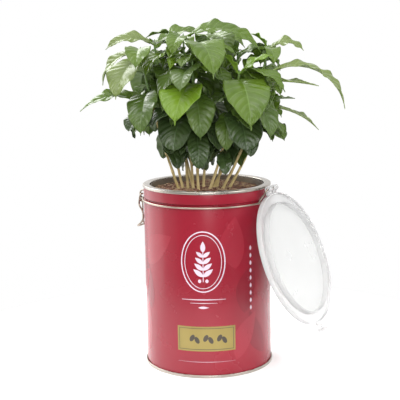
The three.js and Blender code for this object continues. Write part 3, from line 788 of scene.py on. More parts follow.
def addKnuckles(disc):
    toEdge = hinge["reach"] - lid["radius"] + lid["lipWall"] / 2
    width = knuckle["far"] - knuckle["near"]
    bore, radius = knuckle["bore"], knuckle["radius"]
    section = [(bore, -width / 2), (radius, -width / 2), (radius, width / 2), (bore, width / 2)]
    for side in (-1, 1):
        middle = side * (knuckle["near"] + knuckle["far"]) / 2
        tube = spunPiece("barrel", softened(section, knuckle["softness"], 2), 32)
        tube.data.transform(Matrix.Translation((0, middle * mm, 0)) @ Matrix.Rotation(math.pi / 2, 4, "X"))
        web = bevelledBox("web", (toEdge - knuckle["webShort"], width, knuckle["web"]),
                          ((toEdge + knuckle["webShift"]) / 2, middle, radius - knuckle["web"] / 2))
        applyBoolean(tube, web, "UNION")
        applyBoolean(disc, tube, "UNION")


def addCatch(disc):
    edge, base = hinge["reach"] + lid["radius"], lid["lift"]
    length, wide, thickness = catchTab["length"], 2 * catchTab["halfWidth"], catchTab["thickness"]
    overlap, drop, softness = catchTab["overlap"], catchTab["drop"], catchTab["softness"]
    tab = bevelledBox("tab", (length + overlap, wide, thickness),
                      (edge + (length - overlap) / 2, 0, base + thickness / 2 - drop), softness)
    hook = bevelledBox("hook", (thickness, wide, catchTab["hookDepth"]),
                       (edge + length - thickness / 2, 0, base - catchTab["hookDepth"] / 2 + drop), softness)
    slit = bevelledBox("slit", catchTab["slit"],
                       (edge + length / 2 - catchTab["slitBack"], 0, base + catchTab["slitRise"]))
    applyBoolean(disc, tab, "UNION")
    applyBoolean(disc, hook, "UNION")
    applyBoolean(disc, slit, "DIFFERENCE")


def makeLid():
    disc = lidDisc()
    addKnuckles(disc)
    addCatch(disc)
    disc.data.materials.clear()
    for material in ("clearPlastic", "milkyPanel"):
        disc.data.materials.append(materials[material])
    milky = lid["skirtOuter"] - lid["skirtWall"] - lid["milkyInset"]
    for face in disc.data.polygons:
        reach = math.hypot(face.center.x / mm - hinge["reach"], face.center.y / mm)
        face.material_index = 1 if reach < milky else 0
    pin = turned((hinge["reach"], 0, hinge["height"]), hinge["azimuth"])
    disc.matrix_world = (Matrix.Translation(Vector(pin) * mm)
                         @ Matrix.Rotation(radians(hinge["azimuth"] + 180), 4, "Z")
                         @ Matrix.Rotation(radians(-hinge["openAngle"]), 4, "Y"))
    finishPiece(disc, "lid", None, ["lid"], 40)


# The soil, with crumbs and fibres on it

soil = {"top": 170.8, "base": 2.8, "inset": 1.3, "rings": 46, "sides": 150, "roughness": 1.6,
        "wave": 0.11, "bumpScale": 3, "bumpShare": 0.55, "swellScale": 0.5, "swellShare": 0.8, "dome": 0.6,
        "most": 1.9, "rimGap": 2, "fractal": (0.9, 2.2, 4)}
# Least size, and what a draw adds to it
crumb = {"count": 900, "size": (0.5, 1.3), "squash": (0.7, 0.6), "lift": (0.5, 0.6)}
fibre = {"count": 260, "length": (3, 7), "width": (0.22, 0.35), "lift": (0.9, 0.8), "bend": 1.4, "arch": 0.5,
         "steps": 3, "sides": 3}
soilSeed = 77


def makeSoil():
    rimRadius = linerRadius(soil["top"]) - soil["inset"]
    topPoints = [(rimRadius * (1 - ring / soil["rings"]), soil["top"]) for ring in range(soil["rings"] + 1)]
    profile = [(0, soil["base"]), (linerRadius(soil["base"]) - soil["inset"], soil["base"]), *topPoints]
    piece = spunPiece("pottingSoil", profile, soil["sides"])
    for vertex in piece.data.vertices:
        if vertex.co.z > (soil["top"] - 1) * mm:
            place = vertex.co / mm
            reach = math.hypot(place.x, place.y)
            bumpPlace = Vector((place.x, place.y, 3)) * soil["wave"] * soil["bumpScale"]
            swellPlace = Vector((place.x, place.y, 9)) * soil["wave"] * soil["swellScale"]
            bumps = noise.fractal(bumpPlace, *soil["fractal"])
            swell = noise.noise(swellPlace)
            rise = soil["roughness"] * (soil["bumpShare"] * bumps + soil["swellShare"] * swell)
            rise += soil["dome"] * (1 - reach / rimRadius)
            vertex.co.z += min(soil["most"], rise) * mm
    finishPiece(piece, "tin", "earth", ["soil"], 180)


# The same shares from 0 to 1 each time, by the minimal standard generator
def seededShares(start):
    state = start
    while True:
        state = state * 16807 % 2147483647
        yield state / 2147483647


def meshPiece(name, vertices, faces, slots=None, names=(), smooth=True):
    mesh = bpy.data.meshes.new(name)
    mesh.from_pydata([tuple(point) for point in vertices], [], [tuple(face) for face in faces])
    for material in names:
        mesh.materials.append(materials[material])
    if slots is not None:
        mesh.polygons.foreach_set("material_index", np.asarray(slots, np.int32))
    mesh.polygons.foreach_set("use_smooth", np.full(len(faces), smooth))
    mesh.update()
    piece = bpy.data.objects.new(name, mesh)
    bpy.context.collection.objects.link(piece)
    return piece


def scattered(draw, radius):
    reach, angle = radius * math.sqrt(next(draw)), 2 * math.pi * next(draw)
    return reach * math.cos(angle), reach * math.sin(angle)


def makeCrumbs(draw, radius):
    corners = np.array([(1, 0, 0), (-1, 0, 0), (0, 1, 0), (0, -1, 0), (0, 0, 1), (0, 0, -1)], float)
    sides = [(0, 2, 4), (2, 1, 4), (1, 3, 4), (3, 0, 4), (2, 0, 5), (1, 2, 5), (3, 1, 5), (0, 3, 5)]
    vertices, faces = [], []
    for _ in range(crumb["count"]):
        x, y = scattered(draw, radius)
        size = crumb["size"][0] + crumb["size"][1] * next(draw) ** 2
        scale = np.array([size * (crumb["squash"][0] + crumb["squash"][1] * next(draw)) for _ in range(3)])
        centre = (x, y, soil["top"] + crumb["lift"][0] + crumb["lift"][1] * next(draw))
        first = len(vertices)
        vertices += list((corners * scale + centre) * mm)
        faces += [tuple(first + corner for corner in side) for side in sides]
    crumbs = meshPiece("soilCrumbs", vertices, faces, None, ["earthCrumb"], False)
    finishPiece(crumbs, "tin", None, (), None)


def makeFibres(draw, radius):
    steps, sides = fibre["steps"], fibre["sides"]
    vertices, faces = [], []
    for _ in range(fibre["count"]):
        x, y = scattered(draw, radius)
        turn, bend = 2 * math.pi * next(draw), fibre["bend"] * (next(draw) - 0.5)
        length = fibre["length"][0] + fibre["length"][1] * next(draw) ** 2
        width = fibre["width"][0] + fibre["width"][1] * next(draw)
        lift = soil["top"] + fibre["lift"][0] + fibre["lift"][1] * next(draw)
        first = len(vertices)
        for step in range(steps + 1):
            way = turn + bend * step / steps
            if step > 0:
                x, y = x + length / steps * math.cos(way), y + length / steps * math.sin(way)
            if math.hypot(x, y) > radius:
                x, y = x * radius / math.hypot(x, y), y * radius / math.hypot(x, y)
            arch = fibre["arch"] * math.sin(math.pi * step / steps)
            for corner in range(sides):
                spin = 2 * math.pi * corner / sides
                side = width * math.cos(spin)
                vertices.append(((x - side * math.sin(way)) * mm, (y + side * math.cos(way)) * mm,
                                 (lift + arch + width * math.sin(spin)) * mm))
        for step in range(steps):
            low, high = first + sides * step, first + sides * step + sides
            for corner in range(sides):
                onwards = (corner + 1) % sides
                faces.append((low + corner, low + onwards, high + onwards, high + corner))
        last = first + sides * steps
        faces += [tuple(first + corner for corner in range(sides))[::-1],
                  tuple(last + corner for corner in range(sides))]
    fibres = meshPiece("soilFibres", vertices, faces, None, ["fibre"], False)
    finishPiece(fibres, "tin", None, (), None)


def makeSoilBits():
    draw = seededShares(soilSeed)
    radius = linerRadius(soil["top"]) - soil["inset"] - soil["rimGap"]
    makeCrumbs(draw, radius)
    makeFibres(draw, radius)


# The plant's rule. Each seedling is a stem from its foot to the node of its top pair of leaves.

soilLevel = 171.1        # where the stems come out of the soil
plantRule = {"stemHeight": 34, "nodeSpacing": 19, "clearance": 3.4, "stemLead": 0.66, "nodeShare": 0.22,
             "levels": 6, "seed": 26, "stemSampling": 0.03, "sampleStart": 0.16, "sampleSteps": 16,
             "spineSteps": 40, "mostPoints": 120000, "halvings": 30}
stemShape = {"foot": 1.32, "tip": 0.92, "taperHeight": 140, "flare": 0.4, "flareHeight": 3.5}
crown = {"lowest": 189, "skirtStart": 40, "skirtSlope": 2, "skirtMost": 29, "left": -75, "right": 74,
         "front": -72, "back": 116}
blade = {"petiole": 0.1, "stalkWidth": 0.05, "end": 0.93, "fullness": 0.85, "fold": 12, "wave": 1.6,
         "waves": 2, "skew": 0.2}
spread = {"start": 0.2, "rise": 14, "fall": 20, "length": 0.2, "roll": 30, "slim": 0.42, "slimRange": 0.08,
          "turn": 20}
sampleSides = np.array([-1, -0.67, -0.33, 0, 0.33, 0.67, 1])

seedlings = [
    {"foot": (-27, -3), "top": (-61, -4, 303), "turn": 60, "pairs": 6, "leaf": 74, "bud": 6},
    {"foot": (-23, 3), "top": (-48, 12, 310), "turn": 0, "pairs": 6, "leaf": 74, "bud": 6},
    {"foot": (-18, 0), "top": (-25, 4, 299), "turn": 50, "pairs": 6, "leaf": 74, "bud": 4},
    {"foot": (-13, -2), "top": (-20, -8, 316), "turn": 90, "pairs": 6, "leaf": 74, "bud": 5},
    {"foot": (-8, -10), "top": (-12, -20, 305), "turn": 110, "pairs": 6, "leaf": 74, "bud": 4},
    {"foot": (-3, 7), "top": (4, 36, 316), "turn": 60, "pairs": 6, "leaf": 80, "bud": 6},
    {"foot": (3, -6), "top": (32, -18, 282), "turn": 80, "pairs": 5, "leaf": 74, "bud": 4},
    {"foot": (6, 3), "top": (62, 12, 304), "turn": 80, "pairs": 6, "leaf": 74, "bud": 5},
    {"foot": (15, -7), "top": (60, -16, 283), "turn": 75, "pairs": 5, "leaf": 74, "bud": 4},
    {"foot": (22, 1), "top": (60, 4, 257), "turn": 60, "pairs": 4, "leaf": 66, "bud": 4},
    {"foot": (10, 9), "top": (34, 50, 300), "turn": 20, "pairs": 6, "leaf": 80, "bud": 6},
    {"foot": (-13, 11), "top": (-38, 52, 296), "turn": 100, "pairs": 6, "leaf": 80, "bud": 6},
]
# Leaves that stand out in the outline, in the order of chosenNames. The second value is mm below the top.
# The pale tint among these carries a painted sheen on the outer leaves, and the dark tint is partly painted
# shade on the low ones
chosenLeaves = [
    (1, 0, 172, 8, -85, 54, 18, -25, "pale"),
    (1, 5, 238, -5, -75, 60, 33, 0, "pale"),
    (1, 50, 186, 36, -42, 75, 20, -20, "fresh"),
    (1, 54, 222, 0, -60, 38, 25, 0, "dark"),
    (2, 0, 184, 38, -46, 52, 17, -30, "pale"),
    (2, 0, 10, 44, -14, 50, 19, 25, "fresh"),
    (4, 15, 238, 0, -55, 30, 14, 0, "young"),
    (4, 15, 340, 0, -60, 23, 10, 0, "young"),
    (4, 0, -2, 36, -58, 84, 20, 30, "fresh"),
    (4, 0, 172, 35, -30, 38, 16, 0, "mid"),
    (5, 0, 290, 36, -84, 74, 36, 0, "fresh"),
    (5, 31, 250, 4, -74, 66, 40, 0, "young"),
    (7, 6, 279, 10, -82, 80, 43, 0, "fresh"),
    (7, 0, -8, 50, 10, 36, 16, 20, "young"),
    (7, 0, 168, 62, 40, 28, 12, 30, "young"),
    (8, 0, -6, 46, -50, 38, 18, 20, "pale"),
    (8, 0, 150, 65, 15, 25, 17, 20, "young"),
    (9, 0, -3, 30, -82, 94, 26, 10, "pale"),
    (9, 7, -16, 0, -12, 50, 17, 0, "pale"),
    (10, 0, 12, 5, -5, 28, 13, 0, "fresh"),
    (10, 7, -6, 0, -48, 58, 17, 0, "pale"),
    (10, 22, 310, -5, -45, 38, 26, 0, "mid"),
    # Low leaves under the crown, in the dark tint that is partly painted shade
    (4, 68, 248, -5, -85, 54, 36, 0, "dark"),
    (5, 66, 322, -5, -80, 42, 28, 0, "dark"),
    (7, 34, 290, -5, -85, 54, 36, 0, "dark"),
    (5, 50, 208, 5, -50, 50, 28, 0, "dark"),
    (9, 46, 258, -8, -80, 34, 24, 0, "dark"),
]
chosenNames = ("on", "below", "turn", "rise", "fall", "length", "width", "roll", "tint")
# How a pair grows at each level, from the top node down. The dark tint of the lowest levels is partly painted
# shade under the crown
habits = [
    {"rise": 25, "fall": -72, "length": 0.72, "tint": "fresh"},
    {"rise": 12, "fall": -80, "length": 0.98, "tint": "mid"},
    {"rise": 0, "fall": -84, "length": 1, "tint": "mid"},
    {"rise": -5, "fall": -85, "length": 0.9, "tint": "dark"},
    {"rise": -15, "fall": -85, "length": 0.75, "tint": "dark"},
]
# What a leaf tries until it fits: its size, its turn aside, and a third of that added to its fall
trialTurns = (0, 18, -18, 38, -38, 58, -58)
trialSizes = (1, 0.9, 0.78, 0.64)
trials = [(size, turn, turn / 3) for size in trialSizes for turn in trialTurns]
# Smaller leaves that fill the crown between the others, by the same rule
filling = {"rounds": 3, "clearance": 1.7, "nodeShare": 0.3, "length": 0.72, "shift": 0.5, "turn": 47}


class Stem:
    def __init__(self, seedling):
        footX, footY = seedling["foot"]
        topX, topY, topZ = seedling["top"]
        lead = plantRule["stemLead"]
        self.foot = np.array((footX, footY, soilLevel), float)
        self.knee = np.array((footX + lead * (topX - footX), footY + lead * (topY - footY),
                              (soilLevel + topZ) / 2))
        self.top = np.array((topX, topY, topZ), float)

    def at(self, share):
        return (1 - share) ** 2 * self.foot + 2 * (1 - share) * share * self.knee + share ** 2 * self.top

    def shareAtHeight(self, height):
        low, high = 0.0, 1.0
        for _ in range(plantRule["halvings"]):
            middle = (low + high) / 2
            if self.at(middle)[2] < height:
                low = middle
            else:
                high = middle
        return (low + high) / 2

    def startBelowTop(self, below):
        return self.at(self.shareAtHeight(self.top[2] - below))


def stemRadius(height):
    above = height - soilLevel
    taper = (stemShape["foot"] - stemShape["tip"]) * max(0, 1 - above / stemShape["taperHeight"])
    return stemShape["tip"] + taper + stemShape["flare"] * math.exp(-above / stemShape["flareHeight"])


def leafOutline(along):
    onBlade = (along - blade["petiole"]) / (1 - blade["petiole"])
    lens = np.sin(np.pi * np.clip(onBlade / blade["end"], 0, 1)) ** blade["fullness"]
    return blade["stalkWidth"] + (1 - blade["stalkWidth"]) * lens


# The spine's point at each share of a leaf's length, with the directions sideways and off its face
def leafFrame(leaf, along):
    steps = plantRule["spineSteps"]
    heading, roll = radians(leaf["turn"]), radians(leaf["roll"])
    ahead = np.array((math.cos(heading), math.sin(heading), 0))
    flat = np.array((-math.sin(heading), math.cos(heading), 0))
    middle = np.radians(leaf["rise"] + (leaf["fall"] - leaf["rise"]) * (np.arange(steps) + 0.5) / steps)
    strides = leaf["length"] / steps * (np.cos(middle)[:, None] * ahead + np.sin(middle)[:, None] * (0, 0, 1))
    spine = np.vstack([leaf["start"], leaf["start"] + np.cumsum(strides, 0)])
    place = np.minimum(steps - 1, np.floor(along * steps).astype(int))
    part = (along * steps - place)[..., None]
    points = spine[place] * (1 - part) + spine[place + 1] * part
    slope = np.radians(leaf["rise"] + (leaf["fall"] - leaf["rise"]) * along)
    up = -np.sin(slope)[..., None] * ahead + np.cos(slope)[..., None] * np.array((0, 0, 1))
    side = flat * math.cos(roll) + up * math.sin(roll)
    normal = up * math.cos(roll) - flat * math.sin(roll)
    return points, side, normal


def leafLift(leaf, along, across, outline):
    share = np.abs(across)
    ripple = np.sin(2 * np.pi * (leaf["waves"] * along + leaf["phase"] + blade["skew"] * np.sign(across)))
    return (leaf["width"] / 2 * outline * share * math.tan(radians(blade["fold"]))
            + blade["wave"] * ripple * share * share * outline)


def leafSamples(leaf):
    steps = plantRule["sampleSteps"]
    start = plantRule["sampleStart"]
    rows = start + (1 - start) * np.arange(steps + 1) / steps
    along = np.repeat(rows, len(sampleSides))
    across = np.tile(sampleSides, len(rows))
    outline = leafOutline(along)
    points, side, normal = leafFrame(leaf, along)
    lift = leafLift(leaf, along, across, outline)
    return points + side * (leaf["width"] / 2 * outline * across)[:, None] + normal * lift[:, None], along


class Crown:
    def __init__(self):
        most = plantRule["mostPoints"]
        self.points = np.zeros((most, 3))
        self.owners = np.zeros(most, int)
        self.alongs = np.zeros(most)
        self.count = 0

    def add(self, points, owner, alongs):
        span = slice(self.count, self.count + len(points))
        self.points[span] = points
        self.owners[span] = owner
        self.alongs[span] = alongs
        self.count += len(points)

    # The crown is rounded below: its lower side rises outwards
    def holds(self, points):
        x, y, z = points.T
        outwards = np.maximum(0, np.hypot(x, y) - crown["skirtStart"])
        skirt = crown["lowest"] + np.minimum(crown["skirtMost"], crown["skirtSlope"] * outwards)
        return ((z >= skirt).all() and x.min() >= crown["left"] and x.max() <= crown["right"]
                and y.min() >= crown["front"] and y.max() <= crown["back"])

    def keepsClear(self, points, owner, alongs, clearance, nodeShare):
        there = self.points[:self.count]
        near = ((there > points.min(0) - clearance) & (there < points.max(0) + clearance)).all(1)
        others, owners, placed = there[near], self.owners[:self.count][near], self.alongs[:self.count][near]
        distance = ((points[:, None] - others[None]) ** 2).sum(2)
        sharedNode = (owners[None] == owner) & (np.minimum(alongs[:, None], placed[None]) < nodeShare)
        return not ((distance < clearance ** 2) & ~sharedNode).any()


def growLeaves():
    stems = [Stem(seedling) for seedling in seedlings]
    space = Crown()
    leaves = []
    for index, stem in enumerate(stems):
        shares = []
        share = 0.0
        while share <= 1:
            shares.append(share)
            share += plantRule["stemSampling"]
        space.add(np.array([stem.at(share) for share in shares]), index + 1, 1)

    def tryLeaf(leaf, clearance, nodeShare):
        points, alongs = leafSamples(leaf)
        if not leaf.get("chosen") and not space.holds(points):
            return False
        if not space.keepsClear(points, leaf["on"], alongs, clearance, nodeShare):
            return False
        space.add(points, leaf["on"], alongs)
        leaves.append(leaf)
        return True

    draws = seededShares(plantRule["seed"])

    def draw():
        return next(draws)

    def around(reach):
        return reach * (draw() - 0.5)

    def ripples():
        waves = blade["waves"] + draw()
        return {"waves": waves, "phase": draw()}

    for values in chosenLeaves:
        chosen = dict(zip(chosenNames, values))
        start = stems[chosen["on"] - 1].startBelowTop(chosen["below"])
        leaf = {**ripples(), **chosen, "start": start, "chosen": True}
        tryLeaf(leaf, plantRule["clearance"], plantRule["nodeShare"])

    def growPair(index, level, shift, turnShift, lengthShare, clearance, nodeShare):
        seedling = seedlings[index]
        habit = habits[min(level, len(habits) - 1)]
        for opposite in (0, 180):
            below = (level + shift) * plantRule["nodeSpacing"] * (1 + around(spread["start"]))
            leaf = {"on": index + 1, "start": stems[index].startBelowTop(below), "tint": habit["tint"]}
            leaf["rise"] = habit["rise"] + around(spread["rise"])
            leaf["fall"] = habit["fall"] + around(spread["fall"])
            length = seedling["leaf"] * habit["length"] * lengthShare
            leaf["length"] = length * (1 + around(spread["length"]))
            leaf["roll"] = around(spread["roll"])
            leaf.update(ripples())
            leaf["width"] = leaf["length"] * (spread["slim"] + spread["slimRange"] * draw())
            turn = seedling["turn"] + turnShift + 90 * level + opposite + around(spread["turn"])
            for size, aside, lower in trials:
                grown = {**leaf, "turn": turn + aside, "fall": leaf["fall"] + lower,
                         "length": leaf["length"] * size, "width": leaf["width"] * size}
                if tryLeaf(grown, clearance, nodeShare):
                    break

    for level in range(plantRule["levels"]):
        for index, seedling in enumerate(seedlings):
            if level < seedling["pairs"]:
                growPair(index, level, 0, 0, 1, plantRule["clearance"], plantRule["nodeShare"])
    print("leaves of the frame:", len(leaves))
    for lap in range(filling["rounds"]):
        for level in range(plantRule["levels"]):
            for index, seedling in enumerate(seedlings):
                if level < seedling["pairs"]:
                    growPair(index, level, filling["shift"] * lap, filling["turn"] * (lap + 1),
                             filling["length"], filling["clearance"], filling["nodeShare"])
    print("leaves in all:", len(leaves))
    return stems, leaves


# A leaf's mesh: rows follow the side veins, which leave the midrib and bend towards the tip

leafMesh = {"veins": 8, "smallVeins": 5, "smallLength": 38, "fullLength": 74, "firstVein": 0.07,
            "lastVein": 0.86, "veinHalf": 0.0035, "lean": 0.40, "leanCurve": 1.25, "stalkRows": 4,
            "thickness": 0.42, "stalkThickness": 1.7, "stalkTaper": 14, "edgeThinning": 0.3, "rib": 0.7,
            "groove": 0.3, "midrib": 0.05, "bulge": 0.95, "bulgeEnd": 0.93, "ruffle": 0.7, "edgeWave": 0.95,
            "edgeWaves": 4.7, "edgeShift": 0.35, "edgeColumn": 0.9,
            "columns": (0.022, 0.12, 0.3, 0.52, 0.74, 0.91, 1.0), "betweenVeins": (0.27, 0.5, 0.73),
            "tipRows": (0.895, 0.925, 0.955, 0.98, 1.0)}


def leafRows(veins):
    first, last, half = leafMesh["firstVein"], leafMesh["lastVein"], leafMesh["veinHalf"]
    pitch = (last - first) / (veins - 1)
    rows, onVein = [0.0, 0.025], [0, 0]
    for vein in range(veins):
        middle = first + pitch * vein
        rows += [middle - half, middle + half]
        onVein += [1, 0]
        if vein < veins - 1:
            rows += [middle + pitch * share for share in leafMesh["betweenVeins"]]
            onVein += [0] * len(leafMesh["betweenVeins"])
    rows += leafMesh["tipRows"]
    onVein += [0] * len(leafMesh["tipRows"])
    return np.array(rows), np.array(onVein), pitch


# Where along the blade each kind is widest, and how blunt it is: the old, dark leaves are the bluntest (their
# dark tint is partly painted shade)
leafKinds = {
    "young": {"widest": 0.9, "fullness": 0.8, "end": 0.93, "tip": 0.1},
    "fresh": {"widest": 0.88, "fullness": 0.76, "end": 0.93, "tip": 0.1},
    "pale": {"widest": 0.89, "fullness": 0.72, "end": 0.94, "tip": 0.085},
    "mid": {"widest": 0.9, "fullness": 0.68, "end": 0.95, "tip": 0.07},
    "dark": {"widest": 1.02, "fullness": 0.52, "end": 0.985, "tip": 0.03},
}


def bladeWidth(onBlade, kind):
    lens = np.sin(np.pi * np.clip(onBlade / kind["end"], 0, 1) ** kind["widest"]) ** kind["fullness"]
    drip = kind["tip"] * np.clip(1 - onBlade, 0, 1) ** 0.35
    return np.maximum(blade["stalkWidth"] * (onBlade < 0.5), np.maximum(lens, drip))


# How far the surface stands off the leaf's frame: fold, swelling between veins, ruffled edge, sunk midrib
def leafRelief(leaf, along, across, outline, bladeShare, isBlade, between):
    size = leaf["length"] / leafMesh["fullLength"]
    swelling = between * np.sin(np.pi * np.abs(across) ** 0.8) * np.minimum(1, outline * 1.6)
    quilt = leafMesh["bulge"] * size * swelling
    turns = leafMesh["edgeWaves"] * size * bladeShare + leaf["phase"] + leafMesh["edgeShift"] * (across > 0)
    waves = leafMesh["edgeWave"] * np.sin(2 * np.pi * turns) + leafMesh["ruffle"] * (between - 0.5)
    ruffle = waves * size * np.abs(across) ** 3 * outline * isBlade
    trough = -leafMesh["groove"] * (np.abs(across) < leafMesh["midrib"]) * isBlade
    return leafLift(leaf, along, across, outline) + quilt + ruffle + trough


def quads(*corners):
    return np.stack(corners, -1).reshape(-1, 4)


# Faces of the upper side, the lower side and the edge round them
def leafFaces(index, below):
    # The leaf's side direction runs against its width, so faces turn this way round to point outwards
    top = quads(index[:-1, :-1], index[:-1, 1:], index[1:, 1:], index[1:, :-1])[:, ::-1]
    low = quads(below[:-1, :-1], below[:-1, 1:], below[1:, 1:], below[1:, :-1])
    edges = []
    for column, flip in ((0, False), (-1, True)):
        strip = quads(index[:-1, column], index[1:, column], below[1:, column], below[:-1, column])
        edges.append(strip if flip else strip[:, ::-1])
    for row, flip in ((0, True), (-1, False)):
        strip = quads(index[row, :-1], index[row, 1:], below[row, 1:], below[row, :-1])
        edges.append(strip if flip else strip[:, ::-1])
    return top, low, np.concatenate(edges)


# Which of its three materials each face takes: blade, underside or vein
def leafSlots(columns, stalkCount, onVein, edgeCount, materialIndex):
    face, under, vein = materialIndex
    veinRow = np.concatenate([np.zeros(stalkCount), onVein])[:-1, None] > 0
    stalkRow = np.concatenate([np.ones(stalkCount), np.zeros(len(onVein))])[:-1, None] > 0
    middleColumn = (np.arange(len(columns) - 1) == len(columns) // 2 - 1)[None]
    edgeColumn = (np.abs(columns[:-1] + columns[1:]) / 2 > leafMesh["edgeColumn"])[None]
    isVein = (veinRow | middleColumn | stalkRow) & ~(edgeColumn & ~stalkRow)
    top = np.where(isVein, vein, face).reshape(-1)
    low = np.where(middleColumn | stalkRow, vein, under).reshape(-1)
    return np.concatenate([top, low, np.full(edgeCount, under)])


def leafArrays(leaf, materialIndex):
    veins = leafMesh["smallVeins"] if leaf["length"] < leafMesh["smallLength"] else leafMesh["veins"]
    rows, onVein, pitch = leafRows(veins)
    columns = np.array([-value for value in leafMesh["columns"][::-1]] + list(leafMesh["columns"]))
    stalk, stalkCount = blade["petiole"], leafMesh["stalkRows"]
    stalkRows = np.linspace(0, stalk, stalkCount + 1)[:-1]
    lean = leafMesh["lean"] * leaf["width"] / leaf["length"] * np.sin(np.pi * rows)[:, None] ** 0.6
    onBlade = rows[:, None] + lean * np.abs(columns)[None] ** leafMesh["leanCurve"]
    along = np.vstack([np.repeat(stalkRows[:, None], len(columns), 1), stalk + (1 - stalk) * onBlade])
    across = np.repeat(columns[None], len(along), 0)
    bladeShare = np.clip((along - stalk) / (1 - stalk), 0, 1)
    isBlade = np.concatenate([np.zeros(stalkCount), np.ones(len(rows))])[:, None]
    outline = np.where(isBlade > 0, bladeWidth(bladeShare, leafKinds[leaf["tint"]]), blade["stalkWidth"])
    points, side, normal = leafFrame(leaf, along.clip(0, 1))

    phase = np.concatenate([np.zeros(stalkCount), (rows - leafMesh["firstVein"]) / pitch])[:, None]
    between = np.sin(np.pi * phase) ** 2 * isBlade * (bladeShare < leafMesh["bulgeEnd"])
    lift = leafRelief(leaf, along, across, outline, bladeShare, isBlade, between)
    taper = np.clip(1 - bladeShare * leafMesh["stalkTaper"], 0, 1)
    thickness = leafMesh["thickness"] + (leafMesh["stalkThickness"] - leafMesh["thickness"]) * taper
    ribShare = (np.abs(across) < leafMesh["midrib"]) * isBlade * np.clip(1 - bladeShare, 0, 1)
    above = lift + thickness / 2 * (1 - leafMesh["edgeThinning"] * np.abs(across))
    under = lift - thickness / 2 - leafMesh["rib"] * ribShare
    sideways = points + side * (leaf["width"] / 2 * outline * across)[..., None]
    vertices = np.concatenate([(sideways + normal * height[..., None]).reshape(-1, 3)
                               for height in (above, under)]) * mm

    index = np.arange(along.size).reshape(along.shape)
    top, low, edges = leafFaces(index, index + along.size)
    slots = leafSlots(columns, stalkCount, onVein, len(edges), materialIndex)
    return vertices, np.concatenate([top, low, edges]), slots


def makeFoliage(leaves):
    names = [tint + part for tint in leafTints for part in ("Leaf", "Under", "Vein")]
    for number in range(1, len(seedlings) + 1):
        vertices, faces, slots = [], [], []
        for leaf in [leaf for leaf in leaves if leaf["on"] == number]:
            first = 3 * list(leafTints).index(leaf["tint"])
            points, quads, quadSlots = leafArrays(leaf, (first, first + 1, first + 2))
            faces.append(quads + sum(len(group) for group in vertices))
            vertices.append(points)
            slots.append(quadSlots)
        piece = meshPiece(f"leaves_{number:02d}", np.concatenate(vertices), np.concatenate(faces),
                          np.concatenate(slots), names)
        finishPiece(piece, "tin", None, [f"foliage_{number:02d}"], None)


# Stems: round tubes with swollen nodes and a slight relief

stemMesh = {"sides": 12, "stride": 1.6, "swelling": 0.3, "swellReach": 2.2, "relief": 0.09, "ridges": 3,
            "twist": 0.35, "sunk": 1.2, "barkShare": 0.45, "budRise": (0.35, 0.7, 1),
            "budRadius": (0.8, 0.55, 0.25)}


def tubeArrays(centres, radii, sides):
    count = len(centres)
    ahead = np.gradient(centres, axis=0)
    ahead /= np.linalg.norm(ahead, axis=1)[:, None]
    across = np.cross(ahead, (0, 1, 0))
    across /= np.linalg.norm(across, axis=1)[:, None]
    upright = np.cross(across, ahead)
    angles = 2 * np.pi * np.arange(sides) / sides
    cosines, sines = np.cos(angles)[None, :, None], np.sin(angles)[None, :, None]
    ring = across[:, None] * cosines - upright[:, None] * sines
    ridges = angles * stemMesh["ridges"] + stemMesh["twist"] * np.arange(count)[:, None]
    relief = 1 + stemMesh["relief"] * np.sin(ridges)
    vertices = (centres[:, None] + ring * (radii[:, None] * relief)[..., None]).reshape(-1, 3)
    index = np.arange(count * sides).reshape(count, sides)
    onwards = np.roll(index, -1, 1)
    faces = np.stack([index[:-1], onwards[:-1], onwards[1:], index[1:]], -1).reshape(-1, 4).tolist()
    faces += [index[0][::-1].tolist(), index[-1].tolist()]
    return vertices * mm, faces


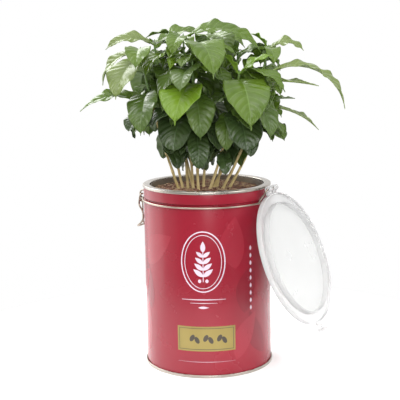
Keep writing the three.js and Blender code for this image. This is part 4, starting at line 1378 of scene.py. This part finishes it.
def stemRange(stem, low, high, pairs):
    heights = np.linspace(low, high, max(4, int((high - low) / stemMesh["stride"])))
    centres = np.array([stem.at(stem.shareAtHeight(height)) for height in heights])
    nodes = [stem.top[2] - level * plantRule["nodeSpacing"] for level in range(pairs + 1)]
    swell = sum(np.exp(-((heights - node) / stemMesh["swellReach"]) ** 2) for node in nodes)
    radii = np.array([stemRadius(height) for height in heights]) + stemMesh["swelling"] * swell
    return centres, radii


def makeStems(stems):
    joint, sides = soilLevel + plantRule["stemHeight"], stemMesh["sides"]
    for number, (stem, seedling) in enumerate(zip(stems, seedlings), 1):
        centres, radii = stemRange(stem, soilLevel - stemMesh["sunk"], joint, seedling["pairs"])
        piece = meshPiece(f"stemBark_{number:02d}", *tubeArrays(centres, radii, sides), None, ["bark"])
        finishPiece(piece, "tin", None, [f"stem_{number:02d}"], None)
        centres, radii = stemRange(stem, joint, stem.top[2], seedling["pairs"])
        bud = centres[-1] + np.array([(0, 0, seedling["bud"] * share) for share in stemMesh["budRise"]])
        centres = np.vstack([centres, bud])
        radii = np.concatenate([radii, radii[-1] * np.array(stemMesh["budRadius"])])
        vertices, faces = tubeArrays(centres, radii, sides)
        barkRows = int(len(centres) * stemMesh["barkShare"])
        slots = [0 if index // sides < barkRows else 1 for index in range(len(faces))]
        piece = meshPiece(f"shoot_{number:02d}", vertices, faces, slots, ["bark", "shoot"])
        finishPiece(piece, "tin", None, [f"foliage_{number:02d}"], None)


def makeFloor():
    deselectAll()
    bpy.ops.mesh.primitive_circle_add(vertices=floorSetup["sides"], radius=floorSetup["radius"],
                                      fill_type="NGON")
    floor = bpy.context.object
    floor.name = "floor"
    tone, roughness = floorSetup["colour"], floorSetup["roughness"]
    look = {"tones": [tone, tone], "smooth": roughness, "rough": roughness}
    floor.data.materials.append(makeMaterial("paleFloor", look))


bpy.context.scene.view_settings.view_transform = "Standard"
makeCamera()
makeLights()
makeWorld()
makeFloor()
print("camera, light and floor are set")
makeTin()
makeSeam()
makeRims()
makeLiner()
print("the tin stands")
makeWhitePrint()
makePanel()
makeTonePrint()
print("the print is on it")
makeNeckWire()
makeLatch()
makeLid()
print("wire, latch and lid are on")
makeSoil()
makeSoilBits()
print("the soil is in")
plantStems, plantLeaves = growLeaves()
makeStems(plantStems)
makeFoliage(plantLeaves)
print("the plant has grown")
